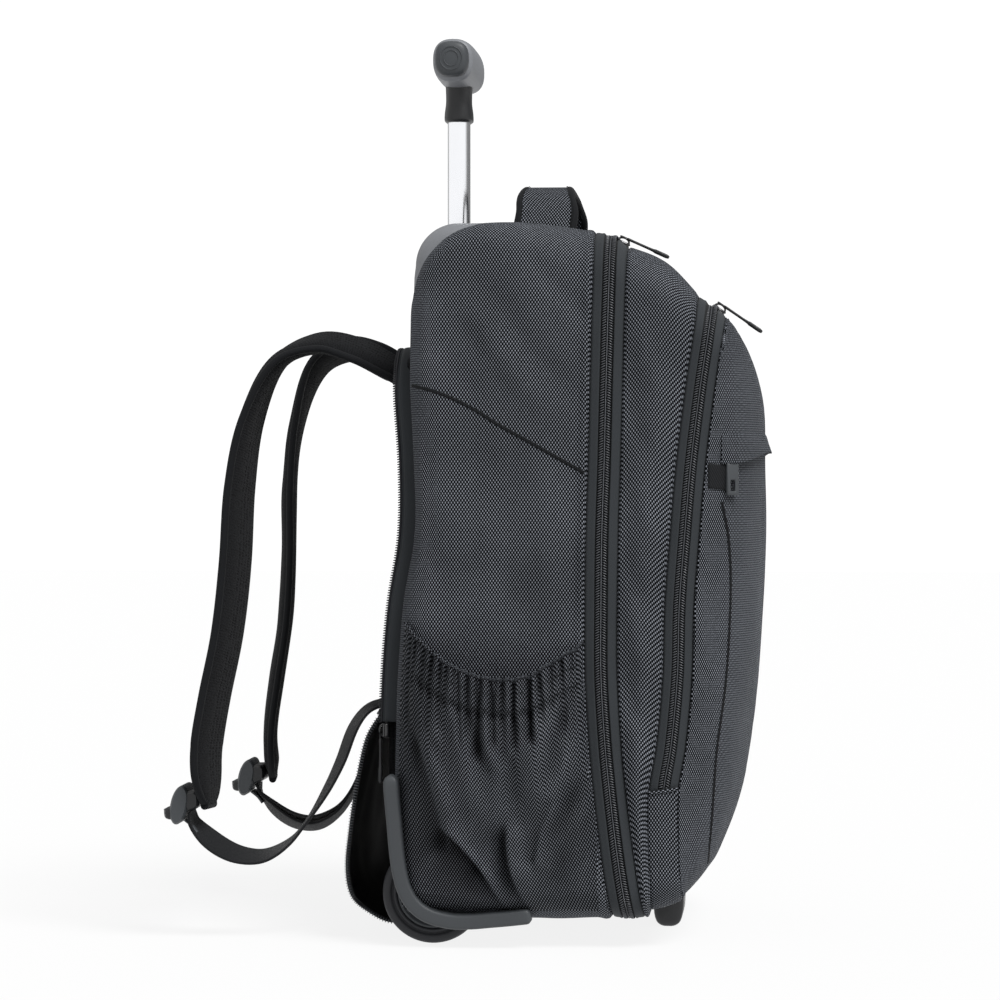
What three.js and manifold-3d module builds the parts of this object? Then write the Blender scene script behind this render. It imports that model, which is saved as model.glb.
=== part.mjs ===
import * as THREE from "three";
import { mergeVertices } from "three/addons/utils/BufferGeometryUtils.js";
import Module from "manifold-3d";

const wasm = await Module();
wasm.setup();

// Wheeled backpack in millimetres. +Z is up, +X points out of the bag's front, +-Y are its sides.
// While it is built, X 0 is the wheel axle's line and Z 0 the ground.

// Driving sizes of the bag
const bagHeight = 474;
const bagFloor = 20; // underside of the bag above the ground
const bagDepth = 253; // back line to the foremost point of the front
const backLine = -26; // rearmost line of the body from the axle
const bagWidth = 300;
const frontTaper = 5; // how far each side comes in from the main zip to the front one
const clothWall = 2.5;
const backRound = 22; // rounding of the body's upright back edges, seen from above
const seat = 0.3; // gap between pieces that touch
const pocketCloth = 2;

// Zips
const mainTapeWidth = 22;
const frontTapeWidth = 20;
const tapeWall = 2.2;
const frontZipEnd = 106; // height where the front zip stops at a seam
const sliderLength = 11;
const sliderWidth = 9;
const sliderHeight = 5;
const pullLength = 34;
const pullWidth = 6;
const pullThick = 2.4;
const backPullLength = 32;

// Side pockets
const pocketBulge = 30;
const pocketMouth = 198; // mean height of the gathered mouth
const ruffleDepth = 1.1;
const ruffleCount = 7;
const foldDepth = 3.2;

// Back panel and its stow cover
const backPanelWidth = 226;
const backPanelThick = 7;
const gussetBand = 6;
const gussetStand = 10;
const capDrop = 42; // the trolley cap's lower edge below the bag's crown
const gussetDrop = 40; // top of the stow band below the trolley cap
const gussetTop = bagFloor + bagHeight - capDrop - gussetDrop;
const gussetEnd = 152;
const coverWidth = 236;
const coverCloth = 2;
const coverTop = 160;
const coverReach = 37; // how far the cover's pouch hangs out behind the body

// Straps
const strapWidth = 60;
const strapThick = 11;
const strapReach = 137; // how far the shoulder straps stand out behind the body
const strapDrop = 326; // from the straps' highest point to their lower ends
const strapCrown = gussetTop + 3;
const strapStart = 17; // the straps' first row behind the back line
const strapSpread = 112; // half the distance between the straps' lower ends
const strapRoot = 60; // half the distance between the straps' upper ends
const webWidth = 25;
const webThick = 2;
const buckleWidth = 34;
const buckleHeight = 27;
const buckleThick = 10;
const buckleOff = 1.4; // from the strap's end to the buckle behind it

// Front pocket's pull
const pocketTab = { wide: 9.5, high: 22, thick: 2.4, slotWide: 3.6, slotHigh: 7.5, turn: 0.62 };

// Grab handle
const grabSpan = 126;
const grabRise = 33;
const grabWidth = 45;
const grabThick = 6;
const grabPlace = 77; // its middle in front of the axle's line

// Trolley
const poleDeep = 16;
const poleWide = 24;
const polePlace = 6;
const poleSlide = 0.08;
const poleWall = 1.6;
const sleeveWall = 2;
const sleeveRise = 1.8; // foot of the pole's sleeve above the tub's inner floor
const poleShown = 76; // how far the handle stands out of its stowed place
const poleInside = 376; // length of the pole inside the bag as it stands
const neckHeight = 29;
const gripLength = 120;
const gripDeep = 31;
const gripHigh = 33;
const capLength = 11;
const capStand = 6;
const capWide = 144;
const capWall = 5;
const capFront = 44; // the cap's front edge from the axle's line
const capBend = 30; // rounding of its upper back corner

// Wheels and their plastic parts
const wheelRadius = 35;
const wheelWidth = 22;
const wheelPlace = 118; // middle of each wheel from the bag's middle
const tyreThick = 10.5;
const axleRadius = 4;
const axleClear = 0.06;
const wheelClear = 4.5;
const housingWall = 2.5;
const guardWidth = 10;
const guardWrap = 15;
const guardStand = 5.5; // how far the rail stands out beside the tub
const guardTop = 116;
const guardFront = 71;
const footLong = 20;
const footWide = 44;
const footPlace = 158;

// Side lines of the bag: each row is a height as a share of the bag's, and how far back line,
// main zip, front zip and front lie from the rearmost line, as shares of the bag's depth.
const sideLines = [
  { high: 0.0, back: 0.01, zip: 0.64, second: 0.74, front: 0.76 },
  { high: 0.05, back: 0.002, zip: 0.622, second: 0.738, front: 0.85 },
  { high: 0.1, back: 0.0, zip: 0.608, second: 0.733, front: 0.9 },
  { high: 0.18, back: 0.0, zip: 0.59, second: 0.732, front: 0.945 },
  { high: 0.25, back: 0.002, zip: 0.577, second: 0.753, front: 0.962 },
  { high: 0.35, back: 0.008, zip: 0.566, second: 0.77, front: 0.981 },
  { high: 0.45, back: 0.024, zip: 0.566, second: 0.775, front: 0.993 },
  { high: 0.55, back: 0.053, zip: 0.568, second: 0.789, front: 1.0 },
  { high: 0.65, back: 0.055, zip: 0.574, second: 0.805, front: 0.999 },
  { high: 0.76, back: 0.042, zip: 0.579, second: 0.83, front: 0.993 },
  { high: 0.86, back: 0.043, zip: 0.584, second: 0.857, front: 0.93 },
  { high: 0.93, back: 0.047, zip: 0.588, second: 0.866, front: 0.88 },
  { high: 1.0, back: 0.051, zip: 0.59, second: 0.87, front: 0.8 },
];

const charcoal = 0x2b2d31;
const smoothTape = 0x37393d;
const blackMesh = 0x1c1d1f;
const greyPlastic = 0x47494c;
const darkPlastic = 0x2c2e31;
const rubberGrey = 0x232527;
const aluminium = 0xc9ccd0;

function finish(color, roughness = 0.85, metalness = 0) {
  return new THREE.MeshStandardMaterial({ color, roughness, metalness });
}

const cloth = finish(charcoal);
const tape = finish(smoothTape, 0.7);
const mesh = finish(blackMesh, 0.95);
const plastic = finish(greyPlastic, 0.5);
const trim = finish(darkPlastic, 0.45);
const rubber = finish(rubberGrey, 0.8);
const metal = finish(aluminium, 0.28, 1);

// A smooth value of a table's column at a place in its first column.
function columnAt(rows, place, column, at) {
  const last = rows.length - 1;
  let i = 0;
  while (i < last - 1 && rows[i + 1][place] < at) i += 1;
  const span = rows[i + 1][place] - rows[i][place];
  const t = THREE.MathUtils.clamp((at - rows[i][place]) / span, 0, 1);
  const slope = (k) => {
    const low = Math.max(k - 1, 0);
    const high = Math.min(k + 1, last);
    return (rows[high][column] - rows[low][column]) / (rows[high][place] - rows[low][place]);
  };
  const a = rows[i][column];
  const b = rows[i + 1][column];
  const rise = (3 - 2 * t) * t * t;
  const startPull = t * (1 - t) * (1 - t) * span * slope(i);
  const endPull = t * t * (1 - t) * span * slope(i + 1);
  return a + (b - a) * rise + startPull - endPull;
}

function lineAt(column, z) {
  const share = THREE.MathUtils.clamp((z - bagFloor) / bagHeight, 0, 1);
  return backLine + bagDepth * columnAt(sideLines, "high", column, share);
}

// A closed solid from loops of equal count: capped at both ends, or joined last to first.
function solidOfLoops(loops, joined = false) {
  const count = loops[0].length;
  const points = loops.flat();
  const faces = [];
  const bands = joined ? loops.length : loops.length - 1;
  for (let k = 0; k < bands; k += 1) {
    const a = k * count;
    const b = ((k + 1) % loops.length) * count;
    for (let i = 0; i < count; i += 1) {
      const j = (i + 1) % count;
      faces.push(a + i, a + j, b + j, a + i, b + j, b + i);
    }
  }
  if (!joined) {
    for (const [k, turn] of [[0, false], [loops.length - 1, true]]) {
      const middle = new THREE.Vector3();
      loops[k].forEach((p) => middle.addScaledVector(p, 1 / count));
      points.push(middle);
      const hub = points.length - 1;
      for (let i = 0; i < count; i += 1) {
        const j = (i + 1) % count;
        const rim = turn ? [k * count + i, k * count + j] : [k * count + j, k * count + i];
        faces.push(hub, ...rim);
      }
    }
  }
  return facedOut(points, faces);
}

function facedOut(points, faces) {
  let volume = 0;
  for (let i = 0; i < faces.length; i += 3) {
    const [a, b, c] = [points[faces[i]], points[faces[i + 1]], points[faces[i + 2]]];
    volume += a.dot(b.clone().cross(c));
  }
  if (volume < 0) {
    for (let i = 0; i < faces.length; i += 3) {
      [faces[i], faces[i + 1]] = [faces[i + 1], faces[i]];
    }
  }
  const flat = new Float32Array(points.flatMap((p) => [p.x, p.y, p.z]));
  const geometry = new THREE.BufferGeometry();
  geometry.setAttribute("position", new THREE.BufferAttribute(flat, 3));
  geometry.setIndex(faces);
  return geometry;
}

// Booleans on closed geometries
function toSolid(geometry) {
  const bare = geometry.clone();
  bare.deleteAttribute("normal");
  bare.deleteAttribute("uv");
  const merged = mergeVertices(bare, 1e-4);
  return new wasm.Manifold(
    new wasm.Mesh({
      numProp: 3,
      vertProperties: new Float32Array(merged.attributes.position.array),
      triVerts: new Uint32Array(merged.index.array),
    }),
  );
}

function toGeometry(solid) {
  const made = solid.getMesh();
  const geometry = new THREE.BufferGeometry();
  geometry.setAttribute("position", new THREE.BufferAttribute(made.vertProperties, 3));
  geometry.setIndex(new THREE.BufferAttribute(made.triVerts, 1));
  return geometry;
}

function cut(geometry, ...cutters) {
  return toGeometry(cutters.reduce((s, c) => s.subtract(toSolid(c)), toSolid(geometry)));
}

function join(geometry, ...others) {
  return toGeometry(others.reduce((s, c) => s.add(toSolid(c)), toSolid(geometry)));
}

function common(geometry, other) {
  return toGeometry(toSolid(geometry).intersect(toSolid(other)));
}

// The largest body of a solid, without the slivers that a trim leaves beside it.
function trimmed(geometry) {
  const bodies = toSolid(geometry).decompose();
  return toGeometry(bodies.reduce((a, b) => (b.volume() > a.volume() ? b : a)));
}

function boxBetween(low, high) {
  const box = new THREE.BoxGeometry(high[0] - low[0], high[1] - low[1], high[2] - low[2]);
  return box.translate((low[0] + high[0]) / 2, (low[1] + high[1]) / 2, (low[2] + high[2]) / 2);
}

function mirrored(geometry) {
  const other = geometry.clone();
  const place = other.attributes.position;
  for (let i = 0; i < place.count; i += 1) place.setY(i, -place.getY(i));
  const index = other.index.array;
  for (let i = 0; i < index.length; i += 3) {
    [index[i], index[i + 1]] = [index[i + 1], index[i]];
  }
  return other;
}

const backpack = new THREE.Group();

function addPiece(name, geometry, material) {
  const piece = new THREE.Mesh(geometry, material);
  piece.name = name;
  backpack.add(piece);
}

function addPair(name, nearGeometry, material) {
  addPiece(name + "_near", nearGeometry, material);
  addPiece(name + "_far", mirrored(nearGeometry), material);
}

// The bag's loops: rounded rectangles across the bag, bent along the side lines.
const cornerSteps = 4;
const sideSteps = 7;

function bagLoop({ half, low, high, topRound, lowRound, from, to, share, push }, inset = 0) {
  const wide = half - inset;
  const base = low + inset;
  const crown = high - inset;
  const rt = Math.max(topRound - inset, 1);
  const rl = Math.max(lowRound - inset, 1);
  const outline = [];
  const corner = (y, z, r, start) => {
    for (let i = 0; i < cornerSteps; i += 1) {
      const turn = start + (i / cornerSteps) * (Math.PI / 2);
      outline.push([y + r * Math.cos(turn), z + r * Math.sin(turn)]);
    }
  };
  const side = (y, z0, z1) => {
    for (let i = 0; i < sideSteps; i += 1) {
      outline.push([y, z0 + ((z1 - z0) * i) / sideSteps]);
    }
  };
  side(wide, base + rl, crown - rt);
  corner(wide - rt, crown - rt, rt, 0);
  outline.push([wide - rt, crown]);
  corner(-wide + rt, crown - rt, rt, Math.PI / 2);
  side(-wide, crown - rt, base + rl);
  corner(-wide + rl, base + rl, rl, Math.PI);
  outline.push([-wide + rl, base]);
  corner(wide - rl, base + rl, rl, 1.5 * Math.PI);
  return outline.map(([y, z]) => {
    const x = THREE.MathUtils.lerp(lineAt(from, z), lineAt(to, z), share) + push;
    return new THREE.Vector3(x, y, z);
  });
}

const halfWidth = bagWidth / 2;
const crownHeight = bagFloor + bagHeight;

// Half the body's width at a distance in front of its back line.
function halfAt(ahead) {
  const rest = 1 - THREE.MathUtils.clamp(ahead / backRound, 0, 1);
  return halfWidth - backRound * (1 - Math.sqrt(1 - rest * rest));
}

// A row of the tub: its distance ahead of the back line, and how far its lower and upper
// edges come in from the bag's floor and crown, as shares of the bag's height.
function tubRow(push, lowIn, highIn, topRound, lowRound) {
  return {
    half: halfAt(push),
    low: bagFloor + lowIn * bagHeight,
    high: crownHeight - highIn * bagHeight,
    topRound,
    lowRound,
    from: "back",
    to: "zip",
    share: 0,
    push,
  };
}

const mainTapeHalf = mainTapeWidth / 2;
const frontTapeHalf = frontTapeWidth / 2;
const topRound = 28;
const lowRound = 20;

const tubRows = [
  tubRow(0, 0.06, 0.1, 14, 14),
  tubRow(4, 0.03, 0.055, 14, 16),
  tubRow(12, 0.009, 0.022, 14, 18),
  tubRow(24, 0.001, 0.006, 13, lowRound),
  tubRow(44, 0, 0, 13, lowRound),
  { ...tubRow(0, 0.001, 0.004, 19, lowRound), half: halfWidth + 3, share: 0.68 },
];
const tubRim = {
  ...tubRow(-mainTapeHalf, 0.002, 0.0115, topRound, lowRound),
  half: halfWidth,
  share: 1,
};

// The tub's loops; an inset moves those of the back wall forward as they turn to face backward.
function tubShell(inset) {
  const back = tubRows.map((row) => {
    const facing = row.share ? 0 : Math.max(0, 1 - row.push / backRound);
    return bagLoop({ ...row, push: row.push + inset * facing }, inset);
  });
  return [...back, bagLoop(tubRim, inset)];
}

function tubVolume(grow) {
  return solidOfLoops([
    ...tubRows.map((row) => bagLoop({ ...row, push: row.push - grow * (row.share ? 0 : 1) }, -grow)),
    bagLoop({ ...tubRim, push: tubRim.push + 2 * grow }, -grow),
  ]);
}

function zipRow(column, push, half, lowIn, highIn) {
  return {
    half,
    low: bagFloor + lowIn * bagHeight,
    high: crownHeight - highIn * bagHeight,
    topRound,
    lowRound,
    from: column,
    to: column,
    share: 0,
    push,
  };
}

// A band of the bag between rows, open at front and back, with walls of one thickness.
function bandOf(rows, wall) {
  const outer = rows.map((row) => bagLoop(row));
  const inner = rows.map((row) => bagLoop(row, wall)).reverse();
  return solidOfLoops([...outer, ...inner], true);
}

const wellRadius = wheelRadius + wheelClear;
const wellHalf = wheelWidth / 2 + 2;

function acrossCylinder(radius, y0, y1, sides, x = 0, z = wheelRadius) {
  const rod = new THREE.CylinderGeometry(radius, radius, y1 - y0, sides);
  return rod.translate(0, (y0 + y1) / 2, 0).translate(x, 0, z);
}

function housingOuter(grow) {
  const reach = wellHalf + housingWall + grow;
  const radius = wellRadius + housingWall + grow;
  return acrossCylinder(radius, -wheelPlace - reach, -wheelPlace + reach, 24);
}

// A level loop, round to squarish.
function roundedLoop(halfX, halfY, z, x, sides = 16, square = 0.75) {
  return Array.from({ length: sides }, (_, i) => {
    const turn = (i / sides) * 2 * Math.PI;
    const [c, s] = [Math.cos(turn), Math.sin(turn)];
    return new THREE.Vector3(
      x + halfX * Math.sign(c) * Math.abs(c) ** square,
      halfY * Math.sign(s) * Math.abs(s) ** square,
      z,
    );
  });
}

// An oval bar of the trolley's pole section, upright at the pole's place.
function ovalBar(grow, z0, z1, x = polePlace) {
  const deep = poleDeep / 2 + grow;
  const wide = poleWide / 2 + grow;
  return solidOfLoops([z0, z1].map((z) => roundedLoop(deep, wide, z, x)));
}

const sleeveBore = poleSlide + sleeveWall;

function mainBody() {
  const tub = solidOfLoops([...tubShell(0), ...tubShell(clothWall).reverse()]);
  const well = housingOuter(seat);
  return cut(tub, well, mirrored(well), ovalBar(sleeveBore + seat, crownHeight / 2, crownHeight + 20));
}

const mainTapeRows = [
  zipRow("zip", seat - mainTapeHalf, halfWidth, 0.002, 0.012),
  zipRow("zip", 0, halfWidth + 1, 0.001, 0.018),
  zipRow("zip", mainTapeHalf - seat, halfWidth, 0.002, 0.033),
];

const frontHalf = halfWidth - frontTaper;

const gussetRows = [
  zipRow("zip", mainTapeHalf, halfWidth, 0.002, 0.034),
  { ...zipRow("zip", 0, halfWidth + 2, 0.004, 0.062), to: "second", share: 0.55 },
  zipRow("second", -frontTapeHalf, frontHalf + 1, 0.014, 0.104),
];
const frontTapeRows = [
  zipRow("second", seat - frontTapeHalf, frontHalf + 1, 0.014, 0.105),
  zipRow("second", 0, frontHalf + 1, 0.02, 0.119),
  zipRow("second", frontTapeHalf - seat, frontHalf - 1, 0.027, 0.134),
];

// The middle gusset: a hollow band, and below the front zip's end it runs on under the tape.
function gussetAndTape() {
  const tapeRows = frontTapeRows;
  const joinRows = [{ ...tapeRows[0], push: -frontTapeHalf - 4 }, tapeRows[1], tapeRows[2]];
  const far = 2 * bagWidth;
  const below = boxBetween([-far, -far, -far], [far, far, frontZipEnd - seat]);
  const above = boxBetween([-far, -far, frontZipEnd], [far, far, far * 2]);
  return {
    gusset: join(bandOf(gussetRows, clothWall), common(bandOf(joinRows, clothWall), below)),
    tape: common(bandOf(tapeRows, tapeWall), above),
  };
}

// Rows of the front's dome, from the front zip in to the middle: half width and how far the
// lower and upper edges come in, as shares, and the way from the zip's line to the front line.
const domeRows = [
  { wide: 1.0, lowIn: 0.028, highIn: 0.136, out: 0 },
  { wide: 0.965, lowIn: 0.033, highIn: 0.14, out: 0.24 },
  { wide: 0.91, lowIn: 0.042, highIn: 0.144, out: 0.5 },
  { wide: 0.8, lowIn: 0.062, highIn: 0.155, out: 0.74 },
  { wide: 0.6, lowIn: 0.1, highIn: 0.19, out: 0.91 },
  { wide: 0.3, lowIn: 0.24, highIn: 0.32, out: 0.99 },
];

function domeLoop(row, inset, grow = 0) {
  const place = zipRow("second", frontTapeHalf * (1 - row.out), frontHalf * row.wide, 0, 0);
  return bagLoop(
    {
      ...place,
      low: bagFloor + row.lowIn * bagHeight,
      high: crownHeight - row.highIn * bagHeight,
      topRound: topRound * (1 - 0.4 * row.out),
      lowRound: lowRound + 18 * row.out,
      to: "front",
      share: row.out,
      push: place.push + (grow - inset) * (row.out > 0 ? 1 : 0),
    },
    inset - grow,
  );
}

function frontPanel() {
  const outer = domeRows.map((row) => domeLoop(row, 0));
  const inner = domeRows.map((row) => domeLoop(row, clothWall));
  return solidOfLoops([...outer.reverse(), ...inner]);
}

function domeVolume(grow) {
  return solidOfLoops(domeRows.map((row) => domeLoop(row, 0, grow)));
}

// The hood is a band of the dome's own shape, standing a little proud of it.
const hoodLow = 331;
const hoodHigh = 357;
const hoodStand = 4.2;

function pocketHood() {
  const far = bagWidth;
  const start = lineAt("second", hoodLow) + frontTapeHalf + 14;
  const slab = boxBetween([start, -far, hoodLow], [start + far, far, hoodHigh]);
  return cut(common(domeVolume(hoodStand), slab), domeVolume(3 * seat));
}

// Side pocket: a sheet that bulges off the tub's side, with ruffles at its mouth and folds below.
// Rows run from the pocket's back edge to its front: place, rise of the mouth above or below its
// mean height, and bulge, all as shares.
const pocketRows = [
  { along: 0, mouth: 0.12, bulge: 0.04 },
  { along: 0.12, mouth: 0.055, bulge: 0.45 },
  { along: 0.3, mouth: -0.02, bulge: 0.86 },
  { along: 0.5, mouth: -0.06, bulge: 1.0 },
  { along: 0.7, mouth: -0.055, bulge: 0.92 },
  { along: 0.86, mouth: 0.0, bulge: 0.55 },
  { along: 1, mouth: 0.055, bulge: 0.0 },
];
const pocketAcross = 21;
const pocketUp = 7;
const pocketBackEdge = 4; // its back edge ahead of the back line
const pocketFoot = 6; // its lower edge above the bag's floor

function pocketPoint(along, up, lift) {
  const low = bagFloor + pocketFoot;
  const mouth = pocketMouth * (1 + columnAt(pocketRows, "along", "mouth", along));
  const z = low + (mouth - low) * up;
  const start = lineAt("back", z) + pocketBackEdge;
  const end = lineAt("zip", z) - mainTapeHalf - 1;
  const x = start + (end - start) * along;
  const belly = columnAt(pocketRows, "along", "bulge", along) * pocketBulge;
  const rise = Math.sin((Math.PI / 2) * Math.min(1, up * 1.25)) ** 0.8 * (1 - 0.12 * up ** 8);
  const edge = Math.sin(Math.PI * along);
  const ruffle = ruffleDepth * Math.cos(2 * Math.PI * ruffleCount * along) * up ** 5 * edge;
  const fold = foldDepth * Math.cos(2 * Math.PI * (3.5 * along + 0.6 * up)) * edge * (1 - up);
  const under = THREE.MathUtils.clamp((bagFloor + lowRound - z) / lowRound, 0, 1);
  const tuck = lowRound * (1 - Math.sqrt(1 - under * under));
  const base = halfAt(x - lineAt("back", z)) - tuck + 1.5 * edge;
  const bulge = belly * rise + (ruffle + fold) * Math.min(1, up * 6);
  return new THREE.Vector3(x, -(base + seat + bulge + lift), z);
}

function sidePocket() {
  const points = [];
  const rowsOf = [0, 1].map((side) => side * (pocketAcross + 1) * (pocketUp + 1));
  for (const lift of [pocketCloth, 0]) {
    for (let j = 0; j <= pocketUp; j += 1) {
      for (let i = 0; i <= pocketAcross; i += 1) {
        points.push(pocketPoint(i / pocketAcross, j / pocketUp, lift));
      }
    }
  }
  const at = (side, i, j) => rowsOf[side] + j * (pocketAcross + 1) + i;
  const faces = [];
  const quad = (a, b, c, d) => faces.push(a, b, c, a, c, d);
  for (let j = 0; j < pocketUp; j += 1) {
    for (let i = 0; i < pocketAcross; i += 1) {
      quad(at(0, i, j), at(0, i + 1, j), at(0, i + 1, j + 1), at(0, i, j + 1));
      quad(at(1, i, j), at(1, i, j + 1), at(1, i + 1, j + 1), at(1, i + 1, j));
    }
    const last = pocketAcross;
    quad(at(0, 0, j), at(0, 0, j + 1), at(1, 0, j + 1), at(1, 0, j));
    quad(at(0, last, j + 1), at(0, last, j), at(1, last, j), at(1, last, j + 1));
  }
  for (let i = 0; i < pocketAcross; i += 1) {
    const top = pocketUp;
    quad(at(0, i + 1, 0), at(0, i, 0), at(1, i, 0), at(1, i + 1, 0));
    quad(at(0, i, top), at(0, i + 1, top), at(1, i + 1, top), at(1, i, top));
  }
  return trimmed(cut(facedOut(points, faces), tubVolume(seat), guardRail(seat)));
}

// A bar's section: a rectangle, with its corners cut where there is a bevel.
function barSection(w, t, b) {
  if (b === 0) return [[w, t], [w, -t], [-w, -t], [-w, t]];
  return [
    [w - b, t], [w, t - b], [w, b - t], [w - b, -t], [b - w, -t], [-w, b - t], [-w, t - b], [b - w, t],
  ];
}

// A bar along a route, turned about it by each row's twist.
function barAlong(rows, width, thick, bevel = 0.3) {
  const points = rows.map((r) => new THREE.Vector3(r.x, r.y, r.z));
  const curve = new THREE.CatmullRomCurve3(points, false, "centripetal");
  const steps = (rows.length - 1) * 2;
  const outline = barSection(width / 2, thick / 2, thick * bevel);
  const loops = [];
  for (let k = 0; k <= steps; k += 1) {
    const at = curve.getPoint(k / steps);
    const ahead = curve.getTangent(k / steps);
    const row = (k / steps) * (rows.length - 1);
    const i = Math.min(Math.floor(row), rows.length - 2);
    const twist = THREE.MathUtils.lerp(rows[i].twist ?? 0, rows[i + 1].twist ?? 0, row - i);
    const grow = THREE.MathUtils.lerp(rows[i].grow ?? 1, rows[i + 1].grow ?? 1, row - i);
    const across = new THREE.Vector3(0, 1, 0);
    across.addScaledVector(ahead, -across.dot(ahead)).normalize();
    across.applyAxisAngle(ahead, THREE.MathUtils.degToRad(twist));
    const out = new THREE.Vector3().crossVectors(ahead, across);
    loops.push(
      outline.map(([p, q]) => at.clone().addScaledVector(across, p * grow).addScaledVector(out, q)),
    );
  }
  return solidOfLoops(loops);
}

// Shoulder strap's run: behind the back line as a share of its reach, below its highest point
// as a share of its drop, and outward from its root as a share of the spread.
const strapRows = [
  { back: -0.12, down: 0.092, out: 0, twist: -14, grow: 0.76 },
  { back: 0.02, down: 0.055, out: 0, twist: -14, grow: 0.84 },
  { back: 0.2, down: 0.015, out: 0.06, twist: -14 },
  { back: 0.4, down: 0.0, out: 0.16, twist: -13 },
  { back: 0.605, down: 0.044, out: 0.3, twist: -8 },
  { back: 0.73, down: 0.165, out: 0.42, twist: -3 },
  { back: 0.79, down: 0.31, out: 0.54, twist: 0 },
  { back: 0.82, down: 0.47, out: 0.68, twist: 0 },
  { back: 0.865, down: 0.62, out: 0.82, twist: 0 },
  { back: 0.93, down: 0.76, out: 0.93, twist: 0 },
  { back: 0.97, down: 0.88, out: 0.98, twist: 0 },
  { back: 0.955, down: 0.985, out: 1.0, twist: 0, grow: 0.72 },
];

// The far strap hangs closer to the bag.
const farPull = 0.91;

function strapPlace({ back, down, out }, pull = 1) {
  const start = lineAt("back", strapCrown) - strapStart;
  return {
    x: start - back * strapReach * pull,
    y: -(strapRoot + out * (strapSpread - strapRoot)),
    z: strapCrown - down * strapDrop,
  };
}

// What is sewn to the back panel ends at its face.
function offPanel(geometry) {
  const panel = backSlab(panelHalf, 0, panelTop, -backRound, backPanelThick + seat, gussetRound);
  return trimmed(cut(geometry, panel));
}

function shoulderStrap(pull = 1) {
  const rows = strapRows.map((row) => ({ ...row, ...strapPlace(row, pull) }));
  return offPanel(barAlong(rows, strapWidth, strapThick));
}

// Webbing's run from the strap's lower end to the body, as shares of the space between them.
const webRows = [
  { ahead: -0.045, down: 0.04 },
  { ahead: 0.07, down: 0.23 },
  { ahead: 0.19, down: 0.33 },
  { ahead: 0.32, down: 0.34 },
  { ahead: 0.45, down: 0.22 },
  { ahead: 0.54, down: 0.04 },
  { ahead: 0.64, down: -0.23 },
  { ahead: 0.71, down: -0.47 },
  { ahead: 0.78, down: -0.77 },
  { ahead: 0.86, down: -0.93 },
  { ahead: 1, down: -1 },
];
const webEndHeight = 166;
const webDrop = 9; // top of the webbing below the strap's end

function strapEnd(pull) {
  return strapPlace(strapRows[strapRows.length - 1], pull);
}

function strapWebbing(pull = 1) {
  const from = strapEnd(pull);
  const top = from.z - webDrop;
  const rise = webEndHeight - top;
  const endX = lineAt("back", webEndHeight) - backPanelThick / 2;
  const rows = webRows.map(({ ahead, down }) => ({
    x: from.x + ahead * (endX - from.x),
    y: from.y + ahead * 18,
    z: top - down * rise,
  }));
  return offPanel(barAlong(rows, webWidth, webThick, 0));
}

// A strap buckle: a plate with a rounded foot, extruded across the strap.
function strapBuckle(pull = 1) {
  const from = strapEnd(pull);
  const outline = new THREE.Shape();
  const [t, h] = [buckleThick / 2, buckleHeight];
  outline.moveTo(-t, -seat);
  outline.lineTo(t, -seat);
  outline.lineTo(t, -h * 0.55);
  outline.quadraticCurveTo(t, -h, 0, -h);
  outline.quadraticCurveTo(-t * 1.8, -h * 0.9, -t * 1.6, -h * 0.5);
  outline.lineTo(-t * 1.6, -h * 0.2);
  outline.closePath();
  const plate = new THREE.ExtrudeGeometry(outline, {
    depth: buckleWidth,
    bevelEnabled: false,
    curveSegments: 6,
  });
  plate.rotateX(Math.PI / 2);
  const x = from.x - strapThick / 2 - t - buckleOff;
  const top = from.z + h / 2;
  plate.translate(x, from.y + buckleWidth / 2, top);
  const slot = boxBetween(
    [x - 3 * t, from.y - webWidth / 2 - 1, top - h * 0.78],
    [x + 3 * t, from.y + webWidth / 2 + 1, top - h * 0.66],
  );
  return cut(plate, slot);
}

function grabHandle() {
  const steps = 10;
  const rows = Array.from({ length: steps + 1 }, (_, i) => {
    const t = (i / steps) * 2 - 1;
    return { x: grabPlace, y: (grabSpan / 2) * t, z: crownHeight - 1 + grabRise * (1 - t ** 4) };
  });
  const arch = toSolid(archAlong(rows));
  return toGeometry(arch.subtract(toSolid(tubVolume(seat))));
}

function archAlong(rows) {
  const outline = barSection(grabWidth / 2, grabThick / 2, grabThick * 0.3);
  const loops = rows.map((row, i) => {
    const a = rows[Math.max(i - 1, 0)];
    const c = rows[Math.min(i + 1, rows.length - 1)];
    const ahead = new THREE.Vector3(0, c.y - a.y, c.z - a.z).normalize();
    const out = new THREE.Vector3(0, -ahead.z, ahead.y);
    const narrow = 1 - 0.08 * Math.abs(row.y / (grabSpan / 2)) ** 2;
    return outline.map(([p, q]) =>
      new THREE.Vector3(row.x + p * narrow, row.y, row.z).addScaledVector(out, q),
    );
  });
  return solidOfLoops(loops);
}

// Extrudes a side-view shape of (x, z) points across the bag.
function acrossExtrude(points, y0, y1) {
  const shape = new THREE.Shape(points.map(([x, z]) => new THREE.Vector2(x, z)));
  const body = new THREE.ExtrudeGeometry(shape, { depth: y1 - y0, bevelEnabled: false });
  body.rotateX(Math.PI / 2);
  return body.translate(0, y1, 0);
}

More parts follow.
